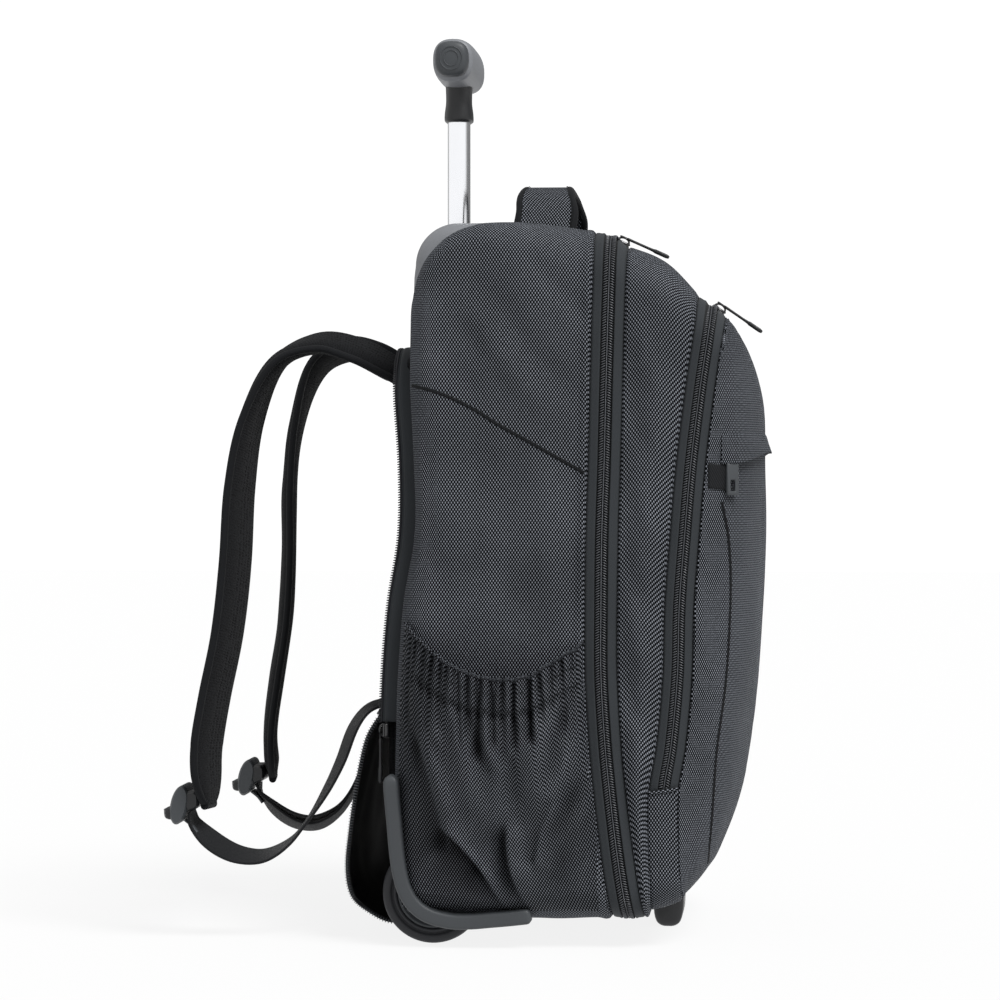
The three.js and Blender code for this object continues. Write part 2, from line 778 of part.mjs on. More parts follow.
// Trolley cap: its outer line follows the tub's upper back corner at a stand.
function trolleyCap() {
  const startHeight = crownHeight - capDrop;
  const cornerX = lineAt("back", crownHeight) - capStand;
  const crown = crownHeight + capStand;
  const bend = capBend;
  const points = [[cornerX, startHeight]];
  const steps = 8;
  for (let i = 0; i <= steps; i += 1) {
    const turn = Math.PI - (i / steps) * (Math.PI / 2);
    points.push([cornerX + bend + bend * Math.cos(turn), crown - bend + bend * Math.sin(turn)]);
  }
  points.push([capFront - 8, crown], [capFront, crown - capStand - 1], [capFront, crown - 40]);
  points.push([cornerX + bend, startHeight]);
  const block = acrossExtrude(points, -capWide / 2, capWide / 2);
  const sleeveTop = crown - capWall;
  return {
    sleeveTop,
    cap: cut(
      block,
      tubVolume(seat),
      ovalBar(sleeveBore + seat, 0, sleeveTop + seat),
      ovalBar(poleSlide + seat, 0, crown + 40),
    ),
  };
}

const { cap: capGeometry, sleeveTop } = trolleyCap();
const capCrown = crownHeight + capStand;

function trolleySleeve() {
  const sleeveFoot = bagFloor + clothWall + sleeveRise + seat;
  return cut(ovalBar(sleeveBore, sleeveFoot, sleeveTop), ovalBar(poleSlide, 0, capCrown + 40));
}

// The trolley handle: pole, neck, barrel grip and its end caps
const neckFoot = capCrown + poleShown;
const gripMiddle = neckFoot + neckHeight + gripHigh / 2 - 5;

function trolleyPole() {
  const top = neckFoot + neckHeight * 0.6;
  const low = capCrown - poleInside;
  return cut(ovalBar(0, low, top), ovalBar(-poleWall, low - 1, top - 4));
}

// Rows of the neck: share of its height, and its half depth and half width beyond the pole's.
const neckRows = [
  { up: 0, deep: 0.6, wide: 3 },
  { up: 0.1, deep: 0.9, wide: 3.4 },
  { up: 0.24, deep: 0.7, wide: 3.2 },
  { up: 0.5, deep: -0.2, wide: 3 },
  { up: 0.85, deep: -0.1, wide: 6 },
  { up: 1.25, deep: 0.3, wide: 11 },
];

function handleNeck() {
  const loops = neckRows.map(({ up, deep, wide }) =>
    roundedLoop(poleDeep / 2 + 1.4 + deep, poleWide / 2 + wide, neckFoot + up * neckHeight, polePlace),
  );
  const socket = ovalBar(seat, neckFoot - 1, neckFoot + neckHeight * 0.6 + seat);
  return cut(solidOfLoops(loops), socket, gripBarrel(seat));
}

// A closed round section along Y, squared a little, at the grip's middle.
function barrelLoop(y, deep, high, square = 0.8) {
  const sides = 16;
  return Array.from({ length: sides }, (_, i) => {
    const turn = (i / sides) * 2 * Math.PI;
    const [c, s] = [Math.cos(turn), Math.sin(turn)];
    return new THREE.Vector3(
      polePlace + deep * Math.sign(c) * Math.abs(c) ** square,
      y,
      gripMiddle + high * Math.sign(s) * Math.abs(s) ** square,
    );
  });
}

const barrelEnd = gripLength / 2 - capLength - seat;

function gripBarrel(grow = 0) {
  const [deep, high] = [gripDeep / 2 + grow, gripHigh / 2 + grow];
  const slim = 0.78;
  const rows = [
    [-barrelEnd - grow, slim],
    [-barrelEnd * 0.82, slim],
    [-barrelEnd * 0.72, 0.92],
    [0, 1],
    [barrelEnd * 0.72, 0.92],
    [barrelEnd * 0.82, slim],
    [barrelEnd + grow, slim],
  ];
  return solidOfLoops(rows.map(([y, size]) => barrelLoop(y, deep * size, high * size)));
}

function gripCap() {
  const [deep, high] = [gripDeep * 0.38, gripHigh * 0.38];
  const start = -gripLength / 2;
  return solidOfLoops([
    barrelLoop(start, deep * 0.72, high * 0.72, 0.7),
    barrelLoop(start + 1.2, deep * 0.92, high * 0.92, 0.7),
    barrelLoop(start + 3, deep, high, 0.7),
    barrelLoop(start + capLength, deep, high, 0.7),
  ]);
}

// Back panel: a pad inside an upside-down U of smooth banding that carries the stow zip.
function backSlab(halfY, z0, z1, from, to, round) {
  const steps = 9;
  const shape = new THREE.Shape();
  shape.moveTo(-halfY, z0);
  shape.lineTo(halfY, z0);
  shape.lineTo(halfY, z1 - round);
  shape.absarc(halfY - round, z1 - round, round, 0, Math.PI / 2, false);
  shape.absarc(round - halfY, z1 - round, round, Math.PI / 2, Math.PI, false);
  shape.closePath();
  const outline = shape.getPoints(5);
  outline.pop();
  const dense = [];
  outline.forEach((p, i) => {
    const q = outline[(i + 1) % outline.length];
    const parts = Math.max(1, Math.round((Math.abs(q.y - p.y) / (z1 - z0)) * steps));
    for (let k = 0; k < parts; k += 1) dense.push(p.clone().lerp(q, k / parts));
  });
  const place = (p, off) => new THREE.Vector3(lineAt("back", p.y) - off, p.x, p.y);
  return solidOfLoops([dense.map((p) => place(p, from)), dense.map((p) => place(p, to))]);
}

const panelHalf = backPanelWidth / 2;
const panelTop = gussetTop - gussetBand;
const panelFoot = 62;
const gussetRound = 34;

function backPad() {
  const slab = backSlab(panelHalf - seat, panelFoot, panelTop - seat, seat, backPanelThick, gussetRound);
  const well = housingOuter(seat);
  return cut(slab, tubVolume(seat), well, mirrored(well));
}

function backGusset() {
  const sunk = seat - 6;
  const round = gussetRound + gussetBand;
  const outer = backSlab(panelHalf + gussetBand, gussetEnd, gussetTop, sunk, gussetStand, round);
  const inner = backSlab(panelHalf, 0, panelTop, -40, 60, gussetRound);
  return cut(outer, inner, tubVolume(seat));
}

// The hanging cover's side view: behind the back line as a share of its reach, and height as a
// share of its top's.
const coverRows = [
  { back: -0.62, up: 0.123, grow: 0.86 },
  { back: -0.28, up: 0.1, grow: 0.86 },
  { back: 0.2, up: 0.078, grow: 0.86 },
  { back: 0.68, up: 0.13, grow: 0.88 },
  { back: 0.92, up: 0.2, grow: 0.97 },
  { back: 1.0, up: 0.32 },
  { back: 0.94, up: 0.48 },
  { back: 0.85, up: 0.63 },
  { back: 0.75, up: 0.76 },
  { back: 0.62, up: 0.88 },
  { back: 0.46, up: 0.95 },
  { back: 0.4, up: 0.967, grow: 0.97 },
];

function backCover() {
  const start = lineAt("back", coverTop / 2);
  const rows = coverRows.map((row) => ({
    ...row,
    x: start - row.back * coverReach,
    y: 0,
    z: row.up * coverTop,
  }));
  const sheet = barAlong(rows, coverWidth, coverCloth, 0);
  return cut(sheet, tubVolume(seat));
}

// Corner guard: a rail round the lower back corner, hugging the tub.
function guardRail(grow = 0) {
  const backX = lineAt("back", guardTop) - 1;
  const lowZ = bagFloor - 2.5;
  const bend = 42;
  const rows = [
    { x: backX - 0.5, z: guardTop },
    { x: backX, z: (guardTop + lowZ + bend) / 2 },
  ];
  const steps = 4;
  for (let i = 0; i <= steps; i += 1) {
    const turn = Math.PI + (i / steps) * (Math.PI / 2);
    rows.push({ x: backX + bend + bend * Math.cos(turn), z: lowZ + bend + bend * Math.sin(turn) });
  }
  rows.push({ x: guardFront, z: lowZ + 4 });
  rows.forEach((row) => {
    row.y = guardWrap / 2 - halfWidth - guardStand;
  });
  return barAlong(rows, guardWrap + 2 * grow, guardWidth + 2 * grow, 0.28);
}

function cornerGuard() {
  return cut(guardRail(), tubVolume(seat), housingOuter(seat));
}

// Wheel housing: a cup open to the back and below, cut off flush with the tub.
function wheelHousing() {
  const hollow = acrossCylinder(wellRadius, -wheelPlace - wellHalf, -wheelPlace + wellHalf, 24);
  const cup = cut(common(housingOuter(0), tubVolume(-0.4)), hollow);
  const reach = wellHalf + housingWall;
  return cut(cup, acrossCylinder(axleRadius + seat, -wheelPlace - reach - 1, -wheelPlace + reach + 1, 16));
}

function axle() {
  const reach = wellHalf + housingWall - seat;
  return acrossCylinder(axleRadius, -wheelPlace - reach, -wheelPlace + reach, 16);
}

const hubRadius = wheelRadius - tyreThick;

function turned(profile) {
  const ring = new THREE.LatheGeometry(profile.map(([r, y]) => new THREE.Vector2(r, y)), 24);
  return ring.translate(0, -wheelPlace, wheelRadius);
}

function tyre() {
  const [r, t, w] = [hubRadius, wheelRadius, wheelWidth / 2];
  return turned([
    [r, -w + 1], [t - 4, -w], [t, -w + 5], [t, w - 5], [t - 4, w], [r, w - 1], [r, -w + 1],
  ]);
}

function hub() {
  const [bore, r, w] = [axleRadius + axleClear, hubRadius - seat, wheelWidth / 2];
  return turned([
    [bore, -w], [9, -w], [10, -w + 4], [r, -w + 3], [r, w - 2], [bore, w], [bore, -w],
  ]);
}

// Front foot: a skid under the bag, with a flat sole.
function frontFoot() {
  const [l, w] = [footLong / 2, footWide / 2];
  const sole = 2.5;
  const loops = [
    [0, sole], [sole, 0], [bagFloor + 8, -1],
  ].map(([z, inset]) => [
    new THREE.Vector3(footPlace - l + inset, -w + inset, z),
    new THREE.Vector3(footPlace + l - inset, -w + inset, z),
    new THREE.Vector3(footPlace + l - inset, w - inset, z),
    new THREE.Vector3(footPlace - l + inset, w - inset, z),
  ]);
  const rows = [mainTapeRows[0], mainTapeRows[2], ...gussetRows.slice(1), ...frontTapeRows.slice(1)];
  const over = solidOfLoops(rows.map((row) => bagLoop(row, -seat)));
  return cut(solidOfLoops(loops), over);
}

function pullTab(length) {
  const shape = new THREE.Shape();
  const w = pullWidth / 2;
  shape.moveTo(0, -w);
  shape.lineTo(length - w, -w);
  shape.absarc(length - w, 0, w, -Math.PI / 2, Math.PI / 2, false);
  shape.lineTo(0, w);
  shape.closePath();
  return new THREE.ExtrudeGeometry(shape, {
    depth: pullThick,
    bevelEnabled: false,
    curveSegments: 5,
  });
}

// A zip's slider on the crown of its tape, with its pull lying forward and down over the cloth.
function crownSlider(rows) {
  const [back, ridge, front] = rows;
  const slope = Math.atan2(back.high - front.high, front.push - back.push);
  const lift = sliderHeight / 2 + 2 * seat;
  const place = [lineAt(ridge.from, ridge.high), 0, ridge.high];
  const slider = new THREE.BoxGeometry(sliderLength, sliderWidth, sliderHeight);
  slider.translate(0, 0, lift).rotateY(slope).translate(...place);
  const pull = pullTab(pullLength);
  pull.translate(-sliderLength / 4, 0, lift + sliderHeight / 2 + seat).rotateY(slope).translate(...place);
  return { slider, pull };
}

// The stow zip's slider at the near end of its band, and the pull that hangs from it.
function stowSlider() {
  const x = lineAt("back", gussetEnd) - gussetStand + sliderHeight / 2;
  const y = -(panelHalf + sliderWidth / 2);
  const slider = new THREE.BoxGeometry(sliderHeight, sliderWidth, sliderLength);
  slider.translate(x, y, gussetEnd - sliderLength / 2 - seat);
  const pull = pullTab(backPullLength).rotateY(Math.PI / 2);
  pull.translate(x - pullThick / 2, y, gussetEnd - sliderLength - 2 * seat);
  return { slider, pull };
}

// The front pocket's pull: a flat tab with a slot, hanging under the hood's near end.
function pocketPull() {
  const { wide, high, thick, slotWide, slotHigh } = pocketTab;
  const tab = new THREE.BoxGeometry(wide, thick, high);
  const slot = new THREE.BoxGeometry(slotWide, 3 * thick, slotHigh).translate(0, 0, -high * 0.2);
  const piece = cut(tab, slot);
  const row = domeRows[2];
  const x = THREE.MathUtils.lerp(lineAt("second", hoodLow), lineAt("front", hoodLow), row.out);
  piece.rotateZ(pocketTab.turn);
  return piece.translate(x + frontTapeHalf * 0.34, -frontHalf * row.wide - 4.6, hoodLow - seat - high / 2);
}

addPiece("main_body", mainBody(), cloth);
addPiece("main_zip_tape", bandOf(mainTapeRows, tapeWall), tape);
const { gusset, tape: frontTape } = gussetAndTape();
for (const [zip, rows] of [["main", mainTapeRows], ["front", frontTapeRows]]) {
  const { slider, pull } = crownSlider(rows);
  addPiece(zip + "_zip_slider", slider, trim);
  addPiece(zip + "_zip_pull", pull, trim);
}
const stow = stowSlider();
addPiece("back_zip_slider", stow.slider, trim);
addPiece("back_zip_pull", stow.pull, trim);
addPiece("pocket_zip_pull", pocketPull(), trim);
addPiece("front_body", gusset, cloth);
addPiece("front_zip_tape", frontTape, tape);
addPiece("front_panel", frontPanel(), cloth);
addPiece("pocket_hood", pocketHood(), cloth);
addPair("side_pocket", sidePocket(), cloth);
addPiece("back_pad", backPad(), mesh);
addPiece("back_zip_gusset", backGusset(), tape);
addPiece("back_cover", backCover(), cloth);
for (const [name, make, material] of [
  ["shoulder_strap", shoulderStrap, mesh],
  ["strap_buckle", strapBuckle, plastic],
  ["strap_webbing", strapWebbing, mesh],
]) {
  addPiece(name + "_near", make(), material);
  addPiece(name + "_far", mirrored(make(farPull)), material);
}
addPiece("grab_handle", grabHandle(), cloth);
addPiece("trolley_cap", capGeometry, plastic);
addPiece("trolley_outer_tube", trolleySleeve(), metal);
addPair("corner_guard", cornerGuard(), plastic);
addPair("wheel_housing", wheelHousing(), plastic);
addPair("axle", axle(), metal);
addPiece("front_foot", frontFoot(), trim);
addPiece("trolley_tube", trolleyPole(), metal);
addPiece("handle_neck", handleNeck(), trim);
addPiece("handle_grip", gripBarrel(), plastic);
addPair("grip_cap", gripCap(), trim);
addPair("tyre", tyre(), rubber);
addPair("hub", hub(), plastic);

// The part's origin is the middle of its box's underside.
const extent = new THREE.Box3().setFromObject(backpack);
const middle = extent.getCenter(new THREE.Vector3());
backpack.children.forEach((piece) => piece.position.set(-middle.x, 0, -extent.min.z));

export default backpack;
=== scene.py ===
import math
import bpy
import numpy as np
from mathutils import Matrix, Vector, noise
from mathutils.bvhtree import BVHTree


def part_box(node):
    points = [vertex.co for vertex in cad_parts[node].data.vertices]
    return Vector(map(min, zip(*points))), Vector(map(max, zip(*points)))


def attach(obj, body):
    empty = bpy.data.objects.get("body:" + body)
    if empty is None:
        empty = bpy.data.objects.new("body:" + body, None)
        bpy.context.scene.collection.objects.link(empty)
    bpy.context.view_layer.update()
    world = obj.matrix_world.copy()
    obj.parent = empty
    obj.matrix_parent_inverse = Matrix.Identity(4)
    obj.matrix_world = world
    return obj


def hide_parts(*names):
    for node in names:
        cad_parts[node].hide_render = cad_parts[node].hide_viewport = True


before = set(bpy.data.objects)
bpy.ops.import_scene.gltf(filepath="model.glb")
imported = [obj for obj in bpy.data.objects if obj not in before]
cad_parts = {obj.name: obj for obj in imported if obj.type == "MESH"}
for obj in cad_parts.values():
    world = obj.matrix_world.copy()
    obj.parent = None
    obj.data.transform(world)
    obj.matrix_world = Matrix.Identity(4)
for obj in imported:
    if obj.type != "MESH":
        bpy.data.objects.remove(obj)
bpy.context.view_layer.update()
print("frame loaded")

# Places are worked out in millimetres from the wheel axle's line and the ground, and turned to the
# frame's metres when a mesh is made. The near side is at less y.
bagLow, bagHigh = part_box("main_body")
axleLow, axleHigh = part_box("axle_near")
wheelLine = (axleLow.x + axleHigh.x) / 2
bagFloor = bagLow.z * 1000
bagCrown = bagHigh.z * 1000
bagTall = bagCrown - bagFloor
sides = ((-1, "near"), (1, "far"))

bag = {
    "depth": 253,
    "backLine": -26,
    "half": 150,
    "frontHalf": 145,
    "backRound": 22,
    "topRound": 28,
    "lowRound": 20,
    "mainTape": 11,  # half the main zip tape's width
    "frontTape": 10,
    "seat": 0.3,
    "cloth": 1.6,
}

# The side's lines: height as a share of the bag's, then the places of back, main zip, front zip and
# front as shares of its depth
sideLines = {
    "high": [0, 0.05, 0.1, 0.18, 0.25, 0.35, 0.45, 0.55, 0.65, 0.76, 0.86, 0.93, 1],
    "back": [0.01, 0.002, 0, 0, 0.002, 0.008, 0.024, 0.053, 0.055, 0.042, 0.043, 0.047, 0.051],
    "zip": [0.64, 0.622, 0.608, 0.59, 0.577, 0.566, 0.566, 0.568, 0.574, 0.579, 0.584, 0.588, 0.59],
    "second": [0.74, 0.738, 0.733, 0.732, 0.753, 0.77, 0.775, 0.789, 0.805, 0.83, 0.857, 0.866, 0.87],
    "front": [0.76, 0.85, 0.9, 0.945, 0.962, 0.981, 0.993, 1, 0.999, 0.993, 0.93, 0.88, 0.8],
}


# A smooth curve through a table's values
def smoothAt(places, values, at):
    places, values = np.asarray(places, float), np.asarray(values, float)
    at = np.clip(np.asarray(at, float), places[0], places[-1])
    slope = np.empty_like(values)
    slope[1:-1] = (values[2:] - values[:-2]) / (places[2:] - places[:-2])
    slope[0] = (values[1] - values[0]) / (places[1] - places[0])
    slope[-1] = (values[-1] - values[-2]) / (places[-1] - places[-2])
    i = np.clip(np.searchsorted(places, at, side="right") - 1, 0, len(places) - 2)
    span = places[i + 1] - places[i]
    t = (at - places[i]) / span
    pulls = t * (1 - t) ** 2 * span * slope[i] - t * t * (1 - t) * span * slope[i + 1]
    return values[i] + (values[i + 1] - values[i]) * (3 - 2 * t) * t * t + pulls


# All of a table's columns at one place
def columnsAt(places, table, at):
    return [float(smoothAt(places, column, at)) for column in table.values()]


def lineAt(name, z):
    share = np.clip((np.asarray(z, float) - bagFloor) / bagTall, 0, 1)
    return bag["backLine"] + bag["depth"] * smoothAt(sideLines["high"], sideLines[name], share)


def soften(t):
    t = np.clip(t, 0, 1)
    return t * t * (3 - 2 * t)


# 0 at both ends of 0 to 1, and flat on 1 between
def humped(t, fall=2.0):
    return 1 - np.abs(2 * np.clip(t, 0, 1) - 1) ** fall


# How far a quarter circle falls: 0 where over is 0, 1 where it is 1
def rounded(over):
    return 1 - np.sqrt(np.maximum(1 - over * over, 0))


# A sine or cosine drawn out toward a square's side, the more the smaller the power
def squared(wave, power):
    return np.sign(wave) * np.abs(wave) ** power


def around(count):
    return np.linspace(0, 2 * math.pi, count, endpoint=False)


# Smooth lumps of about the given size in millimetres, from -1 to 1
def lumps(points, size, seed=0):
    shift = Vector((seed * 17.3, seed * 5.1, seed * 9.7))
    flat = np.asarray(points, float).reshape(-1, 3) / size
    return np.array([noise.noise(Vector(p) + shift) for p in flat]).reshape(np.shape(points)[:-1])


def unit(v):
    return v / np.maximum(np.linalg.norm(v, axis=-1, keepdims=True), 1e-9)


def toFrame(points):
    out = np.asarray(points, float) / 1000
    out[..., 0] += wheelLine
    return out


def fromFrame(point):
    return np.array(point) * 1000 - [wheelLine * 1000, 0, 0]


def middleOf(node):
    low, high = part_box(node)
    return fromFrame((low + high) / 2)


def meshValues(items, name, width=1, kind=float):
    values = np.zeros(len(items) * width, kind)
    items.foreach_get(name, values)
    return values.reshape(-1, width) if width > 1 else values


# UVs that lay the cloth's pattern flat on each side of a piece, in metres
def boxUvs(mesh, corners):
    axis = np.abs(meshValues(mesh.polygons, "normal", 3)).argmax(1)
    axis = np.repeat(axis, meshValues(mesh.polygons, "loop_total", 1, int))
    at, rows = meshValues(mesh.vertices, "co", 3)[corners], np.arange(len(corners))
    return np.stack([at[rows, np.where(axis == 0, 1, 0)], at[rows, np.where(axis == 2, 1, 2)]], 1)


# Makes an object from points and faces, with UVs in millimetres
def addObject(name, points, faces, uvs=None):
    mesh = bpy.data.meshes.new(name)
    mesh.from_pydata(toFrame(points).reshape(-1, 3).tolist(), [], faces)
    mesh.update()
    mesh.polygons.foreach_set("use_smooth", [True] * len(mesh.polygons))
    corners = meshValues(mesh.loops, "vertex_index", 1, int)
    flat = boxUvs(mesh, corners) if uvs is None else np.reshape(uvs, (-1, 2))[corners] / 1000
    mesh.uv_layers.new(name="UVMap").data.foreach_set("uv", flat.ravel())
    piece = bpy.data.objects.new(name, mesh)
    bpy.context.scene.collection.objects.link(piece)
    return piece


# Runs the pattern up the near side, over the top and down the far side without a break. wide is each
# point's place across, which on the back stays the sides' own.
def overUvs(grid, wide=None, along=None):
    y, z = grid[..., 1], grid[..., 2]
    wide = y if wide is None else wide
    widest = np.abs(wide).argmax(-1)[..., None]
    half, middle = (np.take_along_axis(a, widest, -1) for a in (np.abs(wide), z))
    over = wide - np.tanh(y / 12) * (z - bagCrown)
    under = np.sign(y) * (2 * half - np.abs(wide) - z + bagCrown)
    return np.stack([grid[..., 0] if along is None else along, np.where(z > middle, over, under) + bagCrown], -1)


# Runs the pattern from the near side round the front to the far side
def frontUvs(grid):
    y, front = grid[..., 1], lineAt("front", grid[..., 2])
    return np.stack([y - np.tanh(y / 12) * (grid[..., 0] - front) + front, grid[..., 2]], -1)


# Runs the pattern by the lengths along a grid's columns and across its rows
def arcUvs(grid):
    along, across = np.zeros(grid.shape[:2]), np.zeros(grid.shape[:2])
    along[:, 1:] = np.cumsum(np.linalg.norm(np.diff(grid, axis=1), axis=2), axis=1)
    across[1:] = np.cumsum(np.linalg.norm(np.diff(grid, axis=0), axis=2), axis=0)
    return np.stack([along, across], 2)


# Turns a mesh's faces away from a point in millimetres. On a closed mesh any point will do.
def faceAway(piece, centre):
    mesh, middle = piece.data, Vector(toFrame(np.array(centre)))
    if sum((p.center - middle).dot(p.normal) * p.area for p in mesh.polygons) < 0:
        mesh.flip_normals()
    mesh.update()
    return piece


# A grid of points as an object. ends closes a tube's two ends with fans.
def addGrid(name, grid, centre=None, closedRows=False, closedColumns=False, ends=False, uvs=None):
    rows, columns = grid.shape[:2]
    faces = []
    for i in range(rows if closedRows else rows - 1):
        for j in range(columns if closedColumns else columns - 1):
            low, high, n = i * columns, (i + 1) % rows * columns, (j + 1) % columns
            faces.append((low + j, low + n, high + n, high + j))
    points = grid.reshape(-1, 3)
    if ends:
        points = np.vstack([points, grid[0].mean(0), grid[-1].mean(0)])
        last, low, high = (rows - 1) * columns, rows * columns, rows * columns + 1
        for j in range(columns):
            n = (j + 1) % columns
            faces += [(low, n, j), (high, last + j, last + n)]
        if uvs is not None:
            uvs = np.vstack([uvs.reshape(-1, 2), uvs[0].mean(0), uvs[-1].mean(0)])
    piece = addObject(name, points, faces, uvs)
    if ends:
        piece.data.set_sharp_from_angle(angle=math.radians(50))
    if centre is not None or ends or closedRows:
        faceAway(piece, (0, 0, 0) if centre is None else centre)
    return piece


# Gives a sheet its thickness, inward
def addWall(piece, thick, bevel=0.0):
    wall = piece.modifiers.new("wall", "SOLIDIFY")
    wall.thickness = thick / 1000
    wall.offset = -1
    if bevel:
        edge = piece.modifiers.new("edge", "BEVEL")
        edge.width = bevel / 1000
        edge.segments = 2
    return piece


# Stores each point's painted light and shade: how much darker or lighter its colour is drawn
def keepPaintedShade(piece, shade):
    values = np.ravel(shade)
    full = np.zeros(len(piece.data.vertices))
    full[:len(values)] = values
    piece.data.attributes.new("shade", "FLOAT", "POINT").data.foreach_set("value", full)


# Turns a piece with its live modifiers into a plain mesh
def settle(piece):
    bpy.context.view_layer.update()
    graph = bpy.context.evaluated_depsgraph_get()
    mesh = bpy.data.meshes.new_from_object(piece.evaluated_get(graph))
    piece.modifiers.clear()
    piece.data = mesh
    return piece


# Several meshes as one object, each with its own material
def joinPieces(name, pieces):
    bpy.ops.object.select_all(action="DESELECT")
    for piece in pieces:
        settle(piece)
        piece.select_set(True)
    bpy.context.view_layer.objects.active = pieces[0]
    bpy.ops.object.join()
    pieces[0].name = pieces[0].data.name = name
    return pieces[0]


def coat(piece, finish):
    piece.data.materials.clear()
    piece.data.materials.append(finish)
    return piece


# Gives a piece its finish and body, and hides the CAD nodes that it stands for; slot is not used
def finishPiece(piece, slot, *nodes, finish=None, body="bag"):
    if finish is not None:
        coat(piece, finish)
    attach(piece, body)
    if nodes:
        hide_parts(*nodes)
    return piece


# Sweeps a profile of (across, out) points along a path. outward is one direction, or one a point.
def sweep(name, points, profile, outward, finish, closed=False, grow=1.0):
    points, profile = np.asarray(points, float), np.asarray(profile, float)
    ahead = unit(np.roll(points, -1, 0) - np.roll(points, 1, 0) if closed else np.gradient(points, axis=0))
    across = unit(np.cross(ahead, np.broadcast_to(outward, points.shape)))
    out = unit(np.cross(across, ahead))
    wide = (grow * np.ones(len(points)))[:, None] * profile[:, 0]
    grid = points[:, None] + across[:, None] * wide[..., None] + out[:, None] * profile[:, 1, None]
    return coat(addGrid(name, grid, None, closed, True, not closed, arcUvs(grid)), finish)


# A rounded rectangle across a path: corner is a share of the smaller size
def roundProfile(width, height, steps, corner=0.5):
    w, h = width / 2, height / 2
    r = min(w, h) * min(corner * 2, 1)
    out = []
    for cx, cy, start in ((w - r, h - r, 0), (r - w, h - r, 90), (r - w, r - h, 180), (w - r, r - h, 270)):
        for a in np.radians(np.linspace(start, start + 90, steps + 1)):
            out.append((cx + r * math.cos(a), cy + r * math.sin(a)))
    return np.array(out)


# The length along a path up to each of its points
def runOf(points):
    return np.concatenate([[0], np.cumsum(np.linalg.norm(np.diff(points, axis=0), axis=1))])


# The same path with points at even steps
def spread(points, step):
    points = np.asarray(points, float)
    run = runOf(points)
    at = np.linspace(0, run[-1], max(int(round(run[-1] / step)), 2) + 1)
    return np.stack([np.interp(at, run, column) for column in points.T], 1)


# A smooth path through a few chosen points
def curveThrough(points, step):
    points = np.asarray(points, float)
    run = runOf(points)
    at = np.linspace(0, run[-1], max(int(run[-1] / step), 2) + 1)
    return np.stack([smoothAt(run, column, at) for column in points.T], 1)


# Across and out directions of a strap along a path, turned by the twist in degrees
def strapFrame(points, twist):
    ahead = unit(np.gradient(points, axis=0))
    across = np.tile([0.0, 1.0, 0.0], (len(points), 1))
    across = unit(across - ahead * (across * ahead).sum(1, keepdims=True))
    out, turn = np.cross(ahead, across), np.radians(twist)[:, None]
    return across * np.cos(turn) + out * np.sin(turn), out * np.cos(turn) - across * np.sin(turn)


# Materials

# sRGB hex to Blender's linear colour
def fromHex(code):
    parts = [int(code[i:i + 2], 16) / 255 for i in (0, 2, 4)]
    return [p / 12.92 if p <= 0.04045 else ((p + 0.055) / 1.055) ** 2.4 for p in parts] + [1.0]


def addNode(tree, kind, links=None, **settings):
    node = tree.nodes.new(kind)
    for setting, value in settings.items():
        setattr(node, setting, value)
    for socket, value in (links or {}).items():
        if isinstance(value, bpy.types.NodeSocket):
            tree.links.new(value, node.inputs[socket])
        else:
            node.inputs[socket].default_value = value
    return node


def newMaterial(name, roughness, gloss=0.14, **sockets):
    material = bpy.data.materials.new(name)
    material.use_nodes = True
    tree = material.node_tree
    shader = tree.nodes["Principled BSDF"]
    shader.inputs["Roughness"].default_value = roughness
    shader.inputs["Specular IOR Level"].default_value = gloss
    for socket, value in sockets.items():
        shader.inputs[socket.replace("_", " ")].default_value = value
    return material, tree, shader


# Ballistic-weave polyester: near-black cloth whose raised yarns stand in staggered dots, 2.1 mm apart across and 3.1
# mm up. Their pale grey colour is painted highlight, the glints of light on the yarns' crowns; their relief and shine
# are the cloth's own. That is coarser than the real yarn, so that it shows in the render.
cloth = {
    "across": 1.06,
    "up": 1.56,
    "dark": "030405",
    # The raised yarns' pale grey: painted highlight, the glints of light on their crowns
    "light": "868a92",
    "dust": 0.22,
    "relief": 0.22,
}


